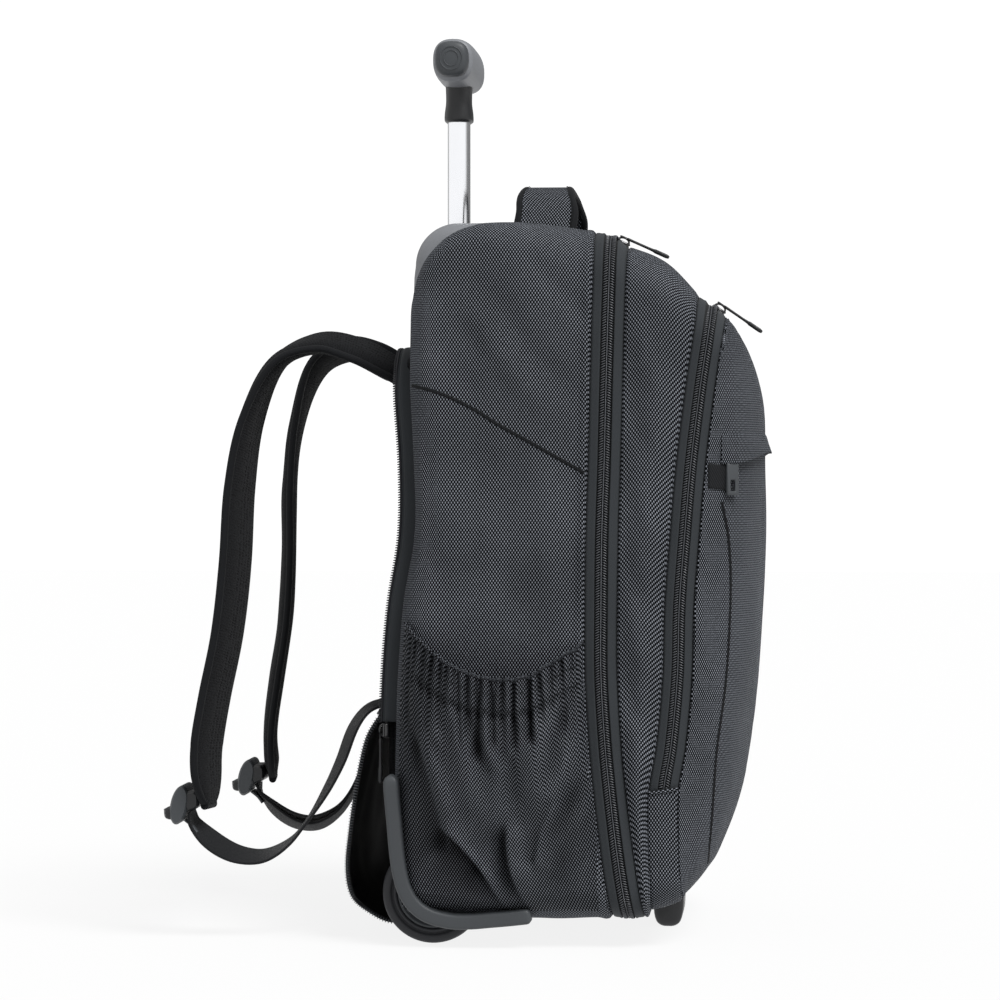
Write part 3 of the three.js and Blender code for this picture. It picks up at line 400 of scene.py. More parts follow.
def wovenMaterial(name, paintedShadeTint=1.0):
    material, tree, shader = newMaterial(name, 0.62, Sheen_Weight=0.05, Sheen_Roughness=0.4)
    shader.inputs["Sheen Tint"].default_value = fromHex("aab0ba")
    coords = addNode(tree, "ShaderNodeTexCoord").outputs
    scaled = addNode(tree, "ShaderNodeMapping", {"Vector": coords["UV"]})
    scaled.inputs["Scale"].default_value = [math.pi * 1000 / cloth["across"], math.pi * 1000 / cloth["up"], 0]
    split = addNode(tree, "ShaderNodeSeparateXYZ", {"Vector": scaled.outputs["Vector"]})
    waveU = addNode(tree, "ShaderNodeMath", {0: split.outputs["X"]}, operation="SINE")
    waveV = addNode(tree, "ShaderNodeMath", {0: split.outputs["Y"]}, operation="SINE")
    weave = addNode(tree, "ShaderNodeMath", {0: waveU.outputs[0], 1: waveV.outputs[0]}, operation="MULTIPLY")
    lift = addNode(tree, "ShaderNodeMapRange", {"Value": weave.outputs[0], "From Min": -0.05, "From Max": 0.95})
    lift = lift.outputs["Result"]
    # The pale grey dots over the near-black cloth are painted highlight
    blend = addNode(tree, "ShaderNodeMix", {"Factor": lift}, data_type="RGBA")
    for socket, tone in (("A", "dark"), ("B", "light")):
        blend.inputs[socket].default_value = [c * paintedShadeTint for c in fromHex(cloth[tone])[:3]] + [1]
    # Dusty patches, the painted shade kept on the mesh, and the yarn's fibres
    wear = addNode(tree, "ShaderNodeTexNoise", {"Vector": coords["Object"], "Scale": 14.0, "Detail": 4.0})
    dust = addNode(tree, "ShaderNodeMapRange", {
        "Value": wear.outputs["Fac"], "From Min": 0.3, "From Max": 0.7, "To Min": 1 - cloth["dust"],
        "To Max": 1 + cloth["dust"]})
    dust = dust.outputs["Result"]
    shade = addNode(tree, "ShaderNodeAttribute", attribute_name="shade")
    dim = addNode(tree, "ShaderNodeMath", {0: shade.outputs["Fac"], 1: dust, 2: dust}, operation="MULTIPLY_ADD")
    fibre = addNode(tree, "ShaderNodeTexNoise", {"Vector": coords["UV"], "Scale": 900.0, "Detail": 2.0})
    grain = addNode(tree, "ShaderNodeMapRange", {
        "Value": fibre.outputs["Fac"], "From Min": 0.2, "From Max": 0.8, "To Min": 0.8, "To Max": 1.2})
    total = addNode(tree, "ShaderNodeMath", {0: dim.outputs[0], 1: grain.outputs["Result"]}, operation="MULTIPLY")
    colour = addNode(tree, "ShaderNodeVectorMath", {0: blend.outputs["Result"], "Scale": total.outputs[0]},
                     operation="SCALE")
    tree.links.new(colour.outputs["Vector"], shader.inputs["Base Color"])
    # The raised yarns are smoother and shinier
    rough = addNode(tree, "ShaderNodeMapRange", {"Value": lift, "To Min": 0.8, "To Max": 0.46})
    tree.links.new(rough.outputs["Result"], shader.inputs["Roughness"])
    glint = addNode(tree, "ShaderNodeMapRange", {"Value": lift, "To Min": 0.02, "To Max": 0.24})
    tree.links.new(glint.outputs["Result"], shader.inputs["Specular IOR Level"])
    bump = addNode(tree, "ShaderNodeBump", {"Height": weave.outputs[0], "Strength": 0.6,
                                            "Distance": cloth["relief"] / 1000})
    tree.links.new(bump.outputs["Normal"], shader.inputs["Normal"])
    return material


# A plain fine finish with a ribbed or grained relief: ribs are their pitch along U and V in
# millimetres, grain a noise of that size, drawn how far it is drawn out upward
def ribbedMaterial(name, colour, roughness, ribs=None, grain=0.5, relief=0.1, strength=0.5, vary=0.12,
                   coords="UV", drawn=1.0, **sockets):
    material, tree, shader = newMaterial(name, roughness, **sockets)
    place = addNode(tree, "ShaderNodeTexCoord").outputs
    pulled = addNode(tree, "ShaderNodeMapping", {"Vector": place[coords]})
    pulled.inputs["Scale"].default_value = (1, 1, 1 / drawn)
    speckle = addNode(tree, "ShaderNodeTexNoise", {
        "Vector": pulled.outputs["Vector"], "Scale": 1000 / grain, "Detail": 3.0, "Roughness": 0.6})
    height = speckle.outputs["Fac"]
    if ribs:
        scaled = addNode(tree, "ShaderNodeMapping", {"Vector": place[coords]})
        scaled.inputs["Scale"].default_value = [2 * math.pi * 1000 / r if r else 0 for r in ribs] + [0]
        split = addNode(tree, "ShaderNodeSeparateXYZ", {"Vector": scaled.outputs["Vector"]})
        both = addNode(tree, "ShaderNodeMath", {0: split.outputs["X"], 1: split.outputs["Y"]}, operation="ADD")
        wave = addNode(tree, "ShaderNodeMath", {0: both.outputs[0]}, operation="SINE")
        mixed = addNode(tree, "ShaderNodeMath", {0: wave.outputs[0], 1: 0.5, 2: height}, operation="MULTIPLY_ADD")
        height = mixed.outputs[0]
    broad = addNode(tree, "ShaderNodeTexNoise", {"Vector": place["Object"], "Scale": 22.0, "Detail": 3.0})
    tone = addNode(tree, "ShaderNodeMath", {0: height, 1: 0.5, 2: broad.outputs["Fac"]}, operation="MULTIPLY_ADD")
    ramp = addNode(tree, "ShaderNodeMapRange", {
        "Value": tone.outputs[0], "From Min": 0.3, "From Max": 1.2, "To Min": 1 - vary, "To Max": 1 + vary})
    ramp = ramp.outputs["Result"]
    # The painted shade kept on the mesh darkens or lightens the colour, over an uneven tone
    shade = addNode(tree, "ShaderNodeAttribute", attribute_name="shade")
    toneAndPaintedShade = addNode(tree, "ShaderNodeMath", {0: shade.outputs["Fac"], 1: ramp, 2: ramp}, operation="MULTIPLY_ADD")
    tinted = addNode(tree, "ShaderNodeVectorMath", {"Scale": toneAndPaintedShade.outputs[0]}, operation="SCALE")
    tinted.inputs[0].default_value = fromHex(colour)[:3]
    tree.links.new(tinted.outputs["Vector"], shader.inputs["Base Color"])
    bump = addNode(tree, "ShaderNodeBump", {"Height": height, "Strength": strength, "Distance": relief / 1000})
    tree.links.new(bump.outputs["Normal"], shader.inputs["Normal"])
    return material


# Knitted air mesh: two layers of black polyester with rows of small holes that read as darker dots
def airMeshMaterial(name, cell=1.9):
    material, tree, shader = newMaterial(name, 0.85, gloss=0.04, Sheen_Weight=0.03, Sheen_Roughness=0.6)
    place = addNode(tree, "ShaderNodeTexCoord")
    cells = addNode(tree, "ShaderNodeTexVoronoi", {
        "Vector": place.outputs["UV"], "Scale": 1000 / cell, "Randomness": 0.35})
    hole = addNode(tree, "ShaderNodeMapRange", {
        "Value": cells.outputs["Distance"], "From Min": 0.18, "From Max": 0.5})
    blend = addNode(tree, "ShaderNodeMix", {"Factor": hole.outputs["Result"]}, data_type="RGBA")
    blend.inputs["A"].default_value = fromHex("020203")
    blend.inputs["B"].default_value = fromHex("17181a")
    tree.links.new(blend.outputs["Result"], shader.inputs["Base Color"])
    bump = addNode(tree, "ShaderNodeBump", {"Height": hole.outputs["Result"], "Strength": 0.7, "Distance": 0.0005})
    tree.links.new(bump.outputs["Normal"], shader.inputs["Normal"])
    return material


# The bag's outer cloth
wovenCloth = wovenMaterial("ballisticPolyester")
# The pockets' cloth: the same weave drawn darker, as painted shade over the pockets
pocketShadedCloth = wovenMaterial("ballisticPolyesterShaded", 0.66)
# Smooth plain-weave zip tape: even dark grey with a fine cross rib
tapeCloth = ribbedMaterial("zipTapeTwill", "2f3235", 0.75, ribs=(0.9, 0.9), grain=0.6, relief=0.08, vary=0.1,
                           Sheen_Weight=0.08)
# Polyamide coil: near black and glossy, so each turn catches a fleck of light
coilNylon = ribbedMaterial("coilNylon", "3c3e42", 0.3, gloss=0.5, grain=0.8, relief=0.05, vary=0.15)
# The unzipped half of the back's coil: duller, worn by use
openCoil = ribbedMaterial("polyesterCoil", "222326", 0.45, gloss=0.15, grain=0.8, relief=0.05, vary=0.15)
# Bonded polyester thread of the seams
threadNylon = ribbedMaterial("seamThread", "1c1e20", 0.5, grain=0.4, relief=0.05, vary=0.1)
# Grosgrain binding tape round raw edges: fine ribs across its length
bindingTape = ribbedMaterial("grosgrainBinding", "141517", 0.75, gloss=0.08, ribs=(1.1, 0), grain=0.7, relief=0.15,
                             vary=0.15, Sheen_Weight=0.04)
airMesh = airMeshMaterial("airMesh")
# Polyester webbing of the lower straps: a close chevron rib
strapWeb = ribbedMaterial("polyesterWebbing", "17181a", 0.7, gloss=0.08, ribs=(1.5, 3.0), grain=0.8, relief=0.25,
                          strength=0.8, vary=0.25, Sheen_Weight=0.1)
# Coated taffeta lining: thin, black and dull
lining = ribbedMaterial("coatedTaffeta", "020203", 0.7, gloss=0.01, ribs=(0.8, 0.8), grain=1.2, relief=0.06, vary=0.2)
# Spark-textured polypropylene mouldings: mid grey and dull, with a fine even grain
greyPlastic = ribbedMaterial("texturedPolypropylene", "3b3e41", 0.5, gloss=0.35, grain=0.9, relief=0.06, strength=0.35,
                             vary=0.06, coords="Object")
# The same moulding in pale grey, for the handle's barrel and the cap over the back's top edge
paleGreyPlastic = ribbedMaterial("palePolypropylene", "77797d", 0.45, gloss=0.4, grain=0.9, relief=0.05,
                                 strength=0.3, vary=0.05, coords="Object")
# Smooth black acetal of pulls, buckle knobs and inserts
darkPlastic = ribbedMaterial("acetal", "18191b", 0.38, gloss=0.4, grain=1.5, relief=0.03, strength=0.3, vary=0.08,
                             coords="Object")
# Black lacquered zinc of the zip sliders: glossy, its tone varied at random
sliderZinc = ribbedMaterial("lacqueredZinc", "131416", 0.25, gloss=0.5, grain=2.0, relief=0.04, strength=0.3, vary=0.2,
                            coords="Object", Coat_Weight=0.5, Coat_Roughness=0.15)
# Moulded thermoplastic rubber of the tyres: matt near black
tyreRubber = ribbedMaterial("thermoplasticRubber", "2a2b2e", 0.6, gloss=0.3, grain=1.0, relief=0.08, strength=0.4,
                            vary=0.12, coords="Object")
# Satin anodised aluminium pole: bright, with faint drawing lines along its length
poleMetal = ribbedMaterial("anodisedAluminium", "f1f2f5", 0.22, gloss=0.5, grain=0.8, relief=0.01, strength=0.03,
                           vary=0.03, coords="Object", drawn=60.0, Metallic=1.0)
# Drawn steel axles: bright and smooth
axleSteel = ribbedMaterial("drawnSteel", "b9bbbe", 0.3, gloss=0.5, grain=1.0, relief=0.02, vary=0.05, coords="Object",
                           Metallic=1.0)
print("materials made")


# Geometry Nodes: beads set at even steps along a path. The path is a mesh of edges whose "outward"
# attribute gives the way out of the surface.
def repeatTree():
    tree = bpy.data.node_groups.new("repeatAlongPath", "GeometryNodeTree")
    face = tree.interface
    face.new_socket(name="Path", in_out="INPUT", socket_type="NodeSocketGeometry")
    for label in ("Pitch", "Length", "Width", "Height", "Side", "Lift", "Lean", "Uneven", "Start"):
        face.new_socket(name=label, in_out="INPUT", socket_type="NodeSocketFloat")
    face.new_socket(name="Finish", in_out="INPUT", socket_type="NodeSocketMaterial")
    face.new_socket(name="Row", in_out="OUTPUT", socket_type="NodeSocketGeometry")
    given = addNode(tree, "NodeGroupInput").outputs
    curve = addNode(tree, "GeometryNodeMeshToCurve", {"Mesh": given["Path"]})
    cut = addNode(tree, "GeometryNodeTrimCurve", {"Curve": curve.outputs[0], "Start": given["Start"]}, mode="LENGTH")
    cut.inputs["End"].default_value = 100.0
    even = addNode(tree, "GeometryNodeResampleCurve", {"Curve": cut.outputs[0], "Length": given["Pitch"]},
                   mode="LENGTH")
    ahead = addNode(tree, "GeometryNodeInputTangent").outputs[0]
    out = addNode(tree, "GeometryNodeInputNamedAttribute", {"Name": "outward"}, data_type="FLOAT_VECTOR")
    out = out.outputs["Attribute"]
    across = addNode(tree, "ShaderNodeVectorMath", {0: ahead, 1: out}, operation="CROSS_PRODUCT")
    beside = addNode(tree, "ShaderNodeVectorMath", {0: across.outputs[0], "Scale": given["Side"]}, operation="SCALE")
    above = addNode(tree, "ShaderNodeVectorMath", {0: out, "Scale": given["Lift"]}, operation="SCALE")
    shift = addNode(tree, "ShaderNodeVectorMath", {0: beside.outputs[0], 1: above.outputs[0]}, operation="ADD")
    moved = addNode(tree, "GeometryNodeSetPosition", {"Geometry": even.outputs[0], "Offset": shift.outputs[0]})
    turn = addNode(tree, "FunctionNodeAxesToRotation", {"Primary Axis": out, "Secondary Axis": ahead},
                   primary_axis="Z", secondary_axis="X")
    chance = addNode(tree, "FunctionNodeRandomValue", {"Seed": 5}, data_type="FLOAT")
    chance.inputs[2].default_value = -1.0
    chance.inputs[3].default_value = 1.0
    wobble = addNode(tree, "ShaderNodeMath", {0: chance.outputs[1], 1: given["Uneven"], 2: given["Lean"]},
                     operation="MULTIPLY_ADD")
    tilt = addNode(tree, "ShaderNodeCombineXYZ", {"Z": wobble.outputs[0]})
    leaned = addNode(tree, "FunctionNodeRotateRotation", {0: turn.outputs[0], 1: tilt.outputs[0]},
                     rotation_space="LOCAL")
    size = addNode(tree, "ShaderNodeCombineXYZ", {"X": given["Length"], "Y": given["Width"], "Z": given["Height"]})
    bead = addNode(tree, "GeometryNodeMeshUVSphere", {"Segments": 6, "Rings": 4, "Radius": 0.5})
    row = addNode(tree, "GeometryNodeInstanceOnPoints", {
        "Points": moved.outputs[0], "Instance": bead.outputs[0], "Rotation": leaned.outputs[0],
        "Scale": size.outputs[0]})
    real = addNode(tree, "GeometryNodeRealizeInstances", {"Geometry": row.outputs[0]})
    soft = addNode(tree, "GeometryNodeSetShadeSmooth", {"Geometry": real.outputs[0]})
    shown = addNode(tree, "GeometryNodeSetMaterial", {"Geometry": soft.outputs[0], "Material": given["Finish"]})
    addNode(tree, "NodeGroupOutput", {"Row": shown.outputs[0]})
    return tree


rowTree = repeatTree()


# One row of beads along each path of (points, outward, closed), in millimetres
def beadRow(name, paths, finish, **sizes):
    points, ways, edges = [], [], []
    for path, outward, closed in paths:
        start, count = len(points), len(path)
        points.extend(toFrame(path).tolist())
        ways.extend(np.broadcast_to(outward, path.shape).tolist())
        edges.extend((start + i, start + i + 1) for i in range(count - 1))
        if closed:
            edges.append((start + count - 1, start))
    mesh = bpy.data.meshes.new(name)
    mesh.from_pydata(points, edges, [])
    mesh.attributes.new("outward", "FLOAT_VECTOR", "POINT").data.foreach_set("vector", np.ravel(ways))
    piece = bpy.data.objects.new(name, mesh)
    bpy.context.scene.collection.objects.link(piece)
    maker = piece.modifiers.new("row", "NODES")
    maker.node_group = rowTree
    for item in rowTree.interface.items_tree:
        if item.in_out != "INPUT" or item.name == "Path":
            continue
        value = sizes.get(item.name.lower(), 0)
        if item.name == "Finish":
            maker[item.identifier] = finish
        else:
            maker[item.identifier] = float(value) if item.name in ("Lean", "Uneven") else value / 1000
    return settle(piece)


# The two halves of a closed coil zip and the cord that runs in its middle
coil = {
    "pitch": 1.75,
    "turn": 3.9,  # length of a coil's turn across the zip
    "thick": 0.95,
    "tall": 1.3,
    "lean": 0.45,
    "apart": 2.3,
    "core": 0.9,
    "lift": 0.3,
}


def coilZip(name, path, outward, closed):
    rows = [
        beadRow(f"{name}Half", [(path, outward, closed)], coilNylon, pitch=coil["pitch"], length=coil["thick"],
                width=coil["turn"], height=coil["tall"], side=side * coil["apart"], lift=coil["lift"],
                lean=side * coil["lean"], uneven=0.06, start=0.4 if side > 0 else coil["pitch"] / 2)
        for side in (-1, 1)
    ]
    rows.append(sweep(f"{name}Core", path + outward * coil["lift"], roundProfile(coil["core"], coil["core"], 2),
                      outward, coilNylon, closed))
    finishPiece(joinPieces(name, rows), "zip_tape")


stitch = {"pitch": 3.4, "long": 2.5, "thick": 0.55}


def stitches(name, paths, lift=0.1, slot="woven_cloth"):
    piece = beadRow(name, paths, threadNylon, pitch=stitch["pitch"], length=stitch["long"], width=stitch["thick"],
                    height=stitch["thick"], lift=lift, uneven=0.05)
    return finishPiece(piece, slot)


# Camera, floor and light
view = {
    "azimuth": 4.88,
    "elevation": 0.48,
    "distance": 2.5985,
    "target": (0.0118, 0.0, 0.3042),
    "lens": 129.6,
}
azimuth, elevation = math.radians(view["azimuth"]), math.radians(view["elevation"])
back = Vector((
    math.sin(azimuth) * math.cos(elevation), -math.cos(azimuth) * math.cos(elevation), math.sin(elevation)
))
camera = bpy.data.objects.new("camera", bpy.data.cameras.new("camera"))
camera.data.lens = view["lens"]
camera.data.sensor_width = 36.0
camera.data.clip_end = 50.0
camera.location = Vector(view["target"]) + back * view["distance"]
camera.rotation_euler = back.to_track_quat("Z", "Y").to_euler()
bpy.context.scene.collection.objects.link(camera)
bpy.context.scene.camera = camera
bpy.context.scene.view_settings.view_transform = "Standard"

# White paper over a lit table, so that only a faint shadow shows
stageMaterial, _, stageShader = newMaterial("litPaper", 0.9, gloss=0.0)
stageShader.inputs["Base Color"].default_value = fromHex("5c5c5c")
stageShader.inputs["Emission Color"].default_value = (1, 1, 1, 1)
stageShader.inputs["Emission Strength"].default_value = 0.86
floorMesh = bpy.data.meshes.new("floor")
floorMesh.from_pydata([(-9, -9, 0), (9, -9, 0), (9, 9, 0), (-9, 9, 0)], [], [(0, 1, 2, 3)])
floorPiece = bpy.data.objects.new("floor", floorMesh)
floorMesh.materials.append(stageMaterial)
bpy.context.scene.collection.objects.link(floorPiece)

world = bpy.data.worlds.new("studio")
bpy.context.scene.world = world
world.use_nodes = True
# The backdrop shows and mirrors as white paper, while the room's light on the bag is softer than that
sky = world.node_tree
sky.nodes["Background"].inputs["Color"].default_value = (1, 1, 1, 1)
kind = addNode(sky, "ShaderNodeLightPath")
room = addNode(sky, "ShaderNodeMapRange", {"Value": kind.outputs["Is Diffuse Ray"], "To Min": 1.05, "To Max": 0.43})
# Black flags behind the bag, which only reflections show: they draw the edges of shiny parts
toward = addNode(sky, "ShaderNodeSeparateXYZ", {"Vector": addNode(sky, "ShaderNodeTexCoord").outputs["Generated"]})
turned = addNode(sky, "ShaderNodeMath", {0: toward.outputs["X"], 1: 0.3, 2: toward.outputs["Y"]},
                 operation="MULTIPLY_ADD")
flag = addNode(sky, "ShaderNodeMapRange", {
    "Value": turned.outputs[0], "From Min": 0.2, "From Max": 0.8, "To Max": 0.8})
hidden = addNode(sky, "ShaderNodeMath", {0: flag.outputs["Result"], 1: kind.outputs["Is Glossy Ray"]},
                 operation="MULTIPLY")
left = addNode(sky, "ShaderNodeMath", {0: 1.0, 1: hidden.outputs[0]}, operation="SUBTRACT")
total = addNode(sky, "ShaderNodeMath", {0: room.outputs["Result"], 1: left.outputs[0]}, operation="MULTIPLY")
sky.links.new(total.outputs[0], sky.nodes["Background"].inputs["Strength"])

# One broad key from above, in front and a little to the right: its direction, strength and softness
keyLight = {"toward": (0.62, -0.62, 1.15), "strength": 3.2, "spread": 28}
light = bpy.data.lights.new("key", "SUN")
light.energy = keyLight["strength"]
light.angle = math.radians(keyLight["spread"])
lamp = bpy.data.objects.new("key", light)
lamp.rotation_euler = Vector(keyLight["toward"]).to_track_quat("Z", "Y").to_euler()
bpy.context.scene.collection.objects.link(lamp)
print("camera and light set")


# The bag's outline across, with its outward directions: even steps up both sides, over and under
outlineSteps = {"side": 110, "corner": 10, "top": 60}


def outlineOf(half, low, high, topRound, lowRound):
    spots, ways = [], []

    def straight(y0, z0, y1, z1, way, count):
        for k in range(count):
            t = k / count
            spots.append((y0 + (y1 - y0) * t, z0 + (z1 - z0) * t))
            ways.append(way)

    def corner(y, z, r, start):
        for k in range(outlineSteps["corner"]):
            a = math.radians(start + 90 * k / outlineSteps["corner"])
            spots.append((y + r * math.cos(a), z + r * math.sin(a)))
            ways.append((math.cos(a), math.sin(a)))

    sideCount, topCount = outlineSteps["side"], outlineSteps["top"]
    straight(half, low + lowRound, half, high - topRound, (1, 0), sideCount)
    corner(half - topRound, high - topRound, topRound, 0)
    straight(half - topRound, high, topRound - half, high, (0, 1), topCount)
    corner(topRound - half, high - topRound, topRound, 90)
    straight(-half, high - topRound, -half, low + lowRound, (-1, 0), sideCount)
    corner(lowRound - half, low + lowRound, lowRound, 180)
    straight(lowRound - half, low, half - lowRound, low, (0, -1), topCount)
    corner(half - lowRound, low + lowRound, lowRound, 270)
    return np.array(spots), np.array(ways)


def bagRow(half, lowIn, highIn, xOf, topRound=bag["topRound"], lowRound=bag["lowRound"], lift=0.0):
    # A row's points, moved outward by lift, with its outward directions
    spots, ways = outlineOf(half, bagFloor + lowIn * bagTall, bagCrown - highIn * bagTall, topRound, lowRound)
    x = xOf(spots[:, 1])
    points = np.column_stack([x, spots])
    outward = np.column_stack([np.zeros(len(x)), ways])
    return points + outward * lift, outward


# The tub: rows from the back wall's edge round the back edges and on to the main zip
tubAheads = [0, 4, 12, 24, 44]
tubEdge = {
    "lowIn": [0.06, 0.03, 0.009, 0.001, 0],
    "highIn": [0.1, 0.055, 0.022, 0.006, 0],
    "topRound": [14, 14, 14, 13, 13],
    "lowRound": [14, 16, 18, 20, 20],
}
tubBack = (0.02, 0.2, 0.4, 0.6, 0.75, 0.87, 0.95)  # the back wall's rings, as shares of its outline
edgeSteps = 12
clothPuff = 2.0
hemLip = 1.3


def tubGrid():
    rows = []
    for share in tubBack:
        points, _ = bagRow(bag["half"] - bag["backRound"], 0.06, 0.1, lambda z: lineAt("back", z), 14, 14)
        centre = points.mean(0)
        inner = centre + (points - centre) * share
        inner[:, 0] = lineAt("back", inner[:, 2])
        rows.append(inner)
    turns = np.radians(np.linspace(0, 90, edgeSteps))
    for ahead in np.concatenate([bag["backRound"] * (1 - np.cos(turns)), np.linspace(24, tubAheads[-1], 6)]):
        rest = 1 - min(ahead / bag["backRound"], 1)
        half = bag["half"] - bag["backRound"] * rounded(rest)
        lowIn, highIn, topRound, lowRound = columnsAt(tubAheads, tubEdge, ahead)
        rows.append(bagRow(half, lowIn, highIn, lambda z: lineAt("back", z) + ahead, topRound, lowRound)[0])
    for share in np.concatenate([np.linspace(0, 0.9, 22)[1:], np.linspace(0.92, 1, 9)]):
        def xOf(z, share=share):
            start, end = lineAt("back", z) + tubAheads[-1], lineAt("zip", z) - bag["mainTape"]
            return start + (end - start) * share
        puff = clothPuff * humped(share, 2.5) + hemLip * soften((share - 0.9) / 0.06)
        puff -= 2.2 * soften((share - 0.975) / 0.025)
        highIn = 0.004 * min(share / 0.6, 1) + 0.0075 * share ** 3
        rows.append(bagRow(bag["half"], 0.002 * share, highIn, xOf, 13 + 15 * share, bag["lowRound"], puff)[0])
    return np.array(rows)


def clothRelief(grid, outwardOf, amount=1.0, seed=1):
    # Soft, uneven lie of cloth, faded out at a grid's last rows
    broad = lumps(grid, 60, seed) * 1.5 + lumps(grid * [1, 1, 0.45], 22, seed + 1) * 0.55
    return grid + outwardOf * (broad * amount)[..., None]


# A row for each soft fold of the side's cloth: its ends, its width and how far it stands out (in, if less
# than 0)
panelFolds = [
    # x0, z0, x1, z1, wide, out
    (20, 447, 80, 364, 8, 2.6),
    (38, 455, 98, 376, 9, -2.4),
    (68, 474, 112, 426, 8, -2.2),
    (84, 452, 116, 400, 7, 1.1),
    (-12, 444, -10, 388, 7, 1.6),
    (2, 424, 36, 372, 8, -1.3),
    (-8, 350, 10, 236, 9, -1.5),
    (28, 352, 14, 240, 9, 1.4),
    (58, 340, 52, 236, 10, -1.6),
    (80, 326, 86, 226, 9, 1.5),
    (104, 318, 100, 226, 7, -1.4),
]
gussetFolds = [
    # x0, z0, x1, z1, wide, out
    (140, 430, 160, 372, 7, 1.6),
    (134, 392, 152, 330, 7, -1.6),
    (142, 320, 160, 270, 6, 1.5),
    (132, 290, 148, 230, 7, -1.4),
    (138, 236, 152, 186, 6, 1.4),
    (134, 196, 146, 150, 7, -1.6),
    (140, 152, 152, 112, 6, 1.5),
    (134, 96, 148, 50, 6, -1.4),
]


def alongFold(x, z, x0, z0, x1, z1):
    # How far along a fold each point is, and how far to its right
    run = np.array([x1 - x0, z1 - z0], float)
    t = ((x - x0) * run[0] + (z - z0) * run[1]) / run.dot(run)
    return t, -((x - x0) * run[1] - (z - z0) * run[0]) / np.hypot(*run)


def foldSum(grid, table):
    total = np.zeros(grid.shape[:2])
    for x0, z0, x1, z1, wide, out in table:
        t, right = alongFold(grid[..., 0], grid[..., 2], x0, z0, x1, z1)
        ends = soften((t + 0.2) / 0.5) * soften((1.2 - t) / 0.5)
        total += out * ends * np.exp(-((right + 3 * np.sin(math.pi * np.clip(t, 0, 1))) / wide) ** 2)
    return total


tubPoints = tubGrid()
# Beside the cap the cloth's upper back corner is rounder than under it
ahead = tubPoints[..., 0] - lineAt("back", tubPoints[..., 2])
cornerDrop = smoothAt([0, 4, 8, 15, 25, 35, 48], [4, 8, 9.5, 9.5, 6, 2.5, 0], np.clip(ahead, 0, 48))
beside = soften((np.abs(tubPoints[..., 1]) - 70) / 36) * soften((tubPoints[..., 2] - 410) / 60)
tubPoints[..., 2] -= cornerDrop * beside
onBack = (np.arange(len(tubPoints)) < len(tubBack) + edgeSteps)[:, None]
wide = np.where(onBack, bag["half"] * np.tanh(tubPoints[..., 1] / 12), tubPoints[..., 1])
along = tubPoints[..., 0] - onBack * (bag["half"] - np.abs(tubPoints[..., 1]))
tubUvs = overUvs(tubPoints, wide, along)
# Outward over the sides, the top and the bottom, and none on the back
fromMiddle = tubPoints - [0, 0, 257]
tubWays = np.sign(fromMiddle) * (np.abs(fromMiddle) >= [1e9, 145, 225])
tubWays = unit(tubWays + 1e-9)
fade = np.ones(tubPoints.shape[:2])
fade[-6:] = np.linspace(1, 0, 6)[:, None]
fade[:8] = 0
tubPoints = clothRelief(tubPoints, tubWays, fade * 0.8)
tubPoints += tubWays * (foldSum(tubPoints, panelFolds) * fade)[..., None]
tub = addGrid("tubCloth", tubPoints, (40, 0, 250), closedColumns=True, uvs=tubUvs)
addWall(tub, bag["cloth"])
finishPiece(tub, "woven_cloth", "main_body", finish=wovenCloth)
print("tub made")


# Zip tapes: two smooth strips whose folded lips bound the coil. across runs from back to front.
tapeProfile = [(-1.12, -3.2), (-1.0, -0.9), (-0.95, -0.1), (-0.85, 0.2), (-0.62, 0.3), (-0.5, 0.75), (-0.45, 0.7),
               (-0.42, 0.1), (-0.39, -0.7), (0, -0.8), (0.39, -0.7), (0.42, 0.1), (0.45, 0.7), (0.5, 0.75),
               (0.62, 0.3), (0.85, 0.2), (0.95, -0.1), (1.0, -0.9), (1.12, -3.2)]


def tapeRows(column, halfTape, table, lift=0.4, profile=tapeProfile):
    # table: half width, lowIn and highIn at the tape's back edge, middle and front edge
    rows, ways = [], []
    for across, rise in profile:
        half, lowIn, highIn = columnsAt([-1, 0, 1], table, across)
        points, outward = bagRow(
            half, lowIn, highIn, lambda z: lineAt(column, z) + across * (halfTape - bag["seat"]), lift=rise + lift
        )
        rows.append(points)
        ways.append(outward)
    return np.array(rows), np.array(ways)


mainTape = {"half": [150, 151, 150], "lowIn": [0.002, 0.001, 0.002], "highIn": [0.012, 0.018, 0.033]}
frontTape = {"half": [146, 146, 144], "lowIn": [0.014, 0.02, 0.027], "highIn": [0.105, 0.119, 0.134]}
# Painted shade on the zip tape: darkest in the recessed channel under the coil, and darker along the tape's outer
# edges where they tuck under the cloth
tapePaintedShade = np.array([-0.8 if abs(a) < 0.44 else (-0.25 if abs(a) > 0.96 else 0.0) for a, _ in tapeProfile])

tapeGrid, _ = tapeRows("zip", bag["mainTape"], mainTape)
piece = addGrid("mainZipTape", tapeGrid, (120, 0, 250), closedColumns=True)
keepPaintedShade(piece, np.repeat(tapePaintedShade, tapeGrid.shape[1]))
addWall(piece, 0.9)
finishPiece(piece, "zip_tape", "main_zip_tape", finish=tapeCloth)
ridge, ridgeWays = tapeRows("zip", bag["mainTape"], mainTape, profile=[(0, 0)])
coilZip("mainZipCoil", ridge[0], ridgeWays[0], True)
print("main zip made")


# The lower, closed stretch of the front tape's line is cloth, so the tape is cut there
frontZipEnd = 106


def keepColumns(grid, keep):
    # The kept columns of a looped grid, from where the kept run starts
    first = int(np.argmax(keep & ~np.roll(keep, 1)))
    order = (np.arange(len(keep)) + first) % len(keep)
    return grid[:, order[keep[order]]]


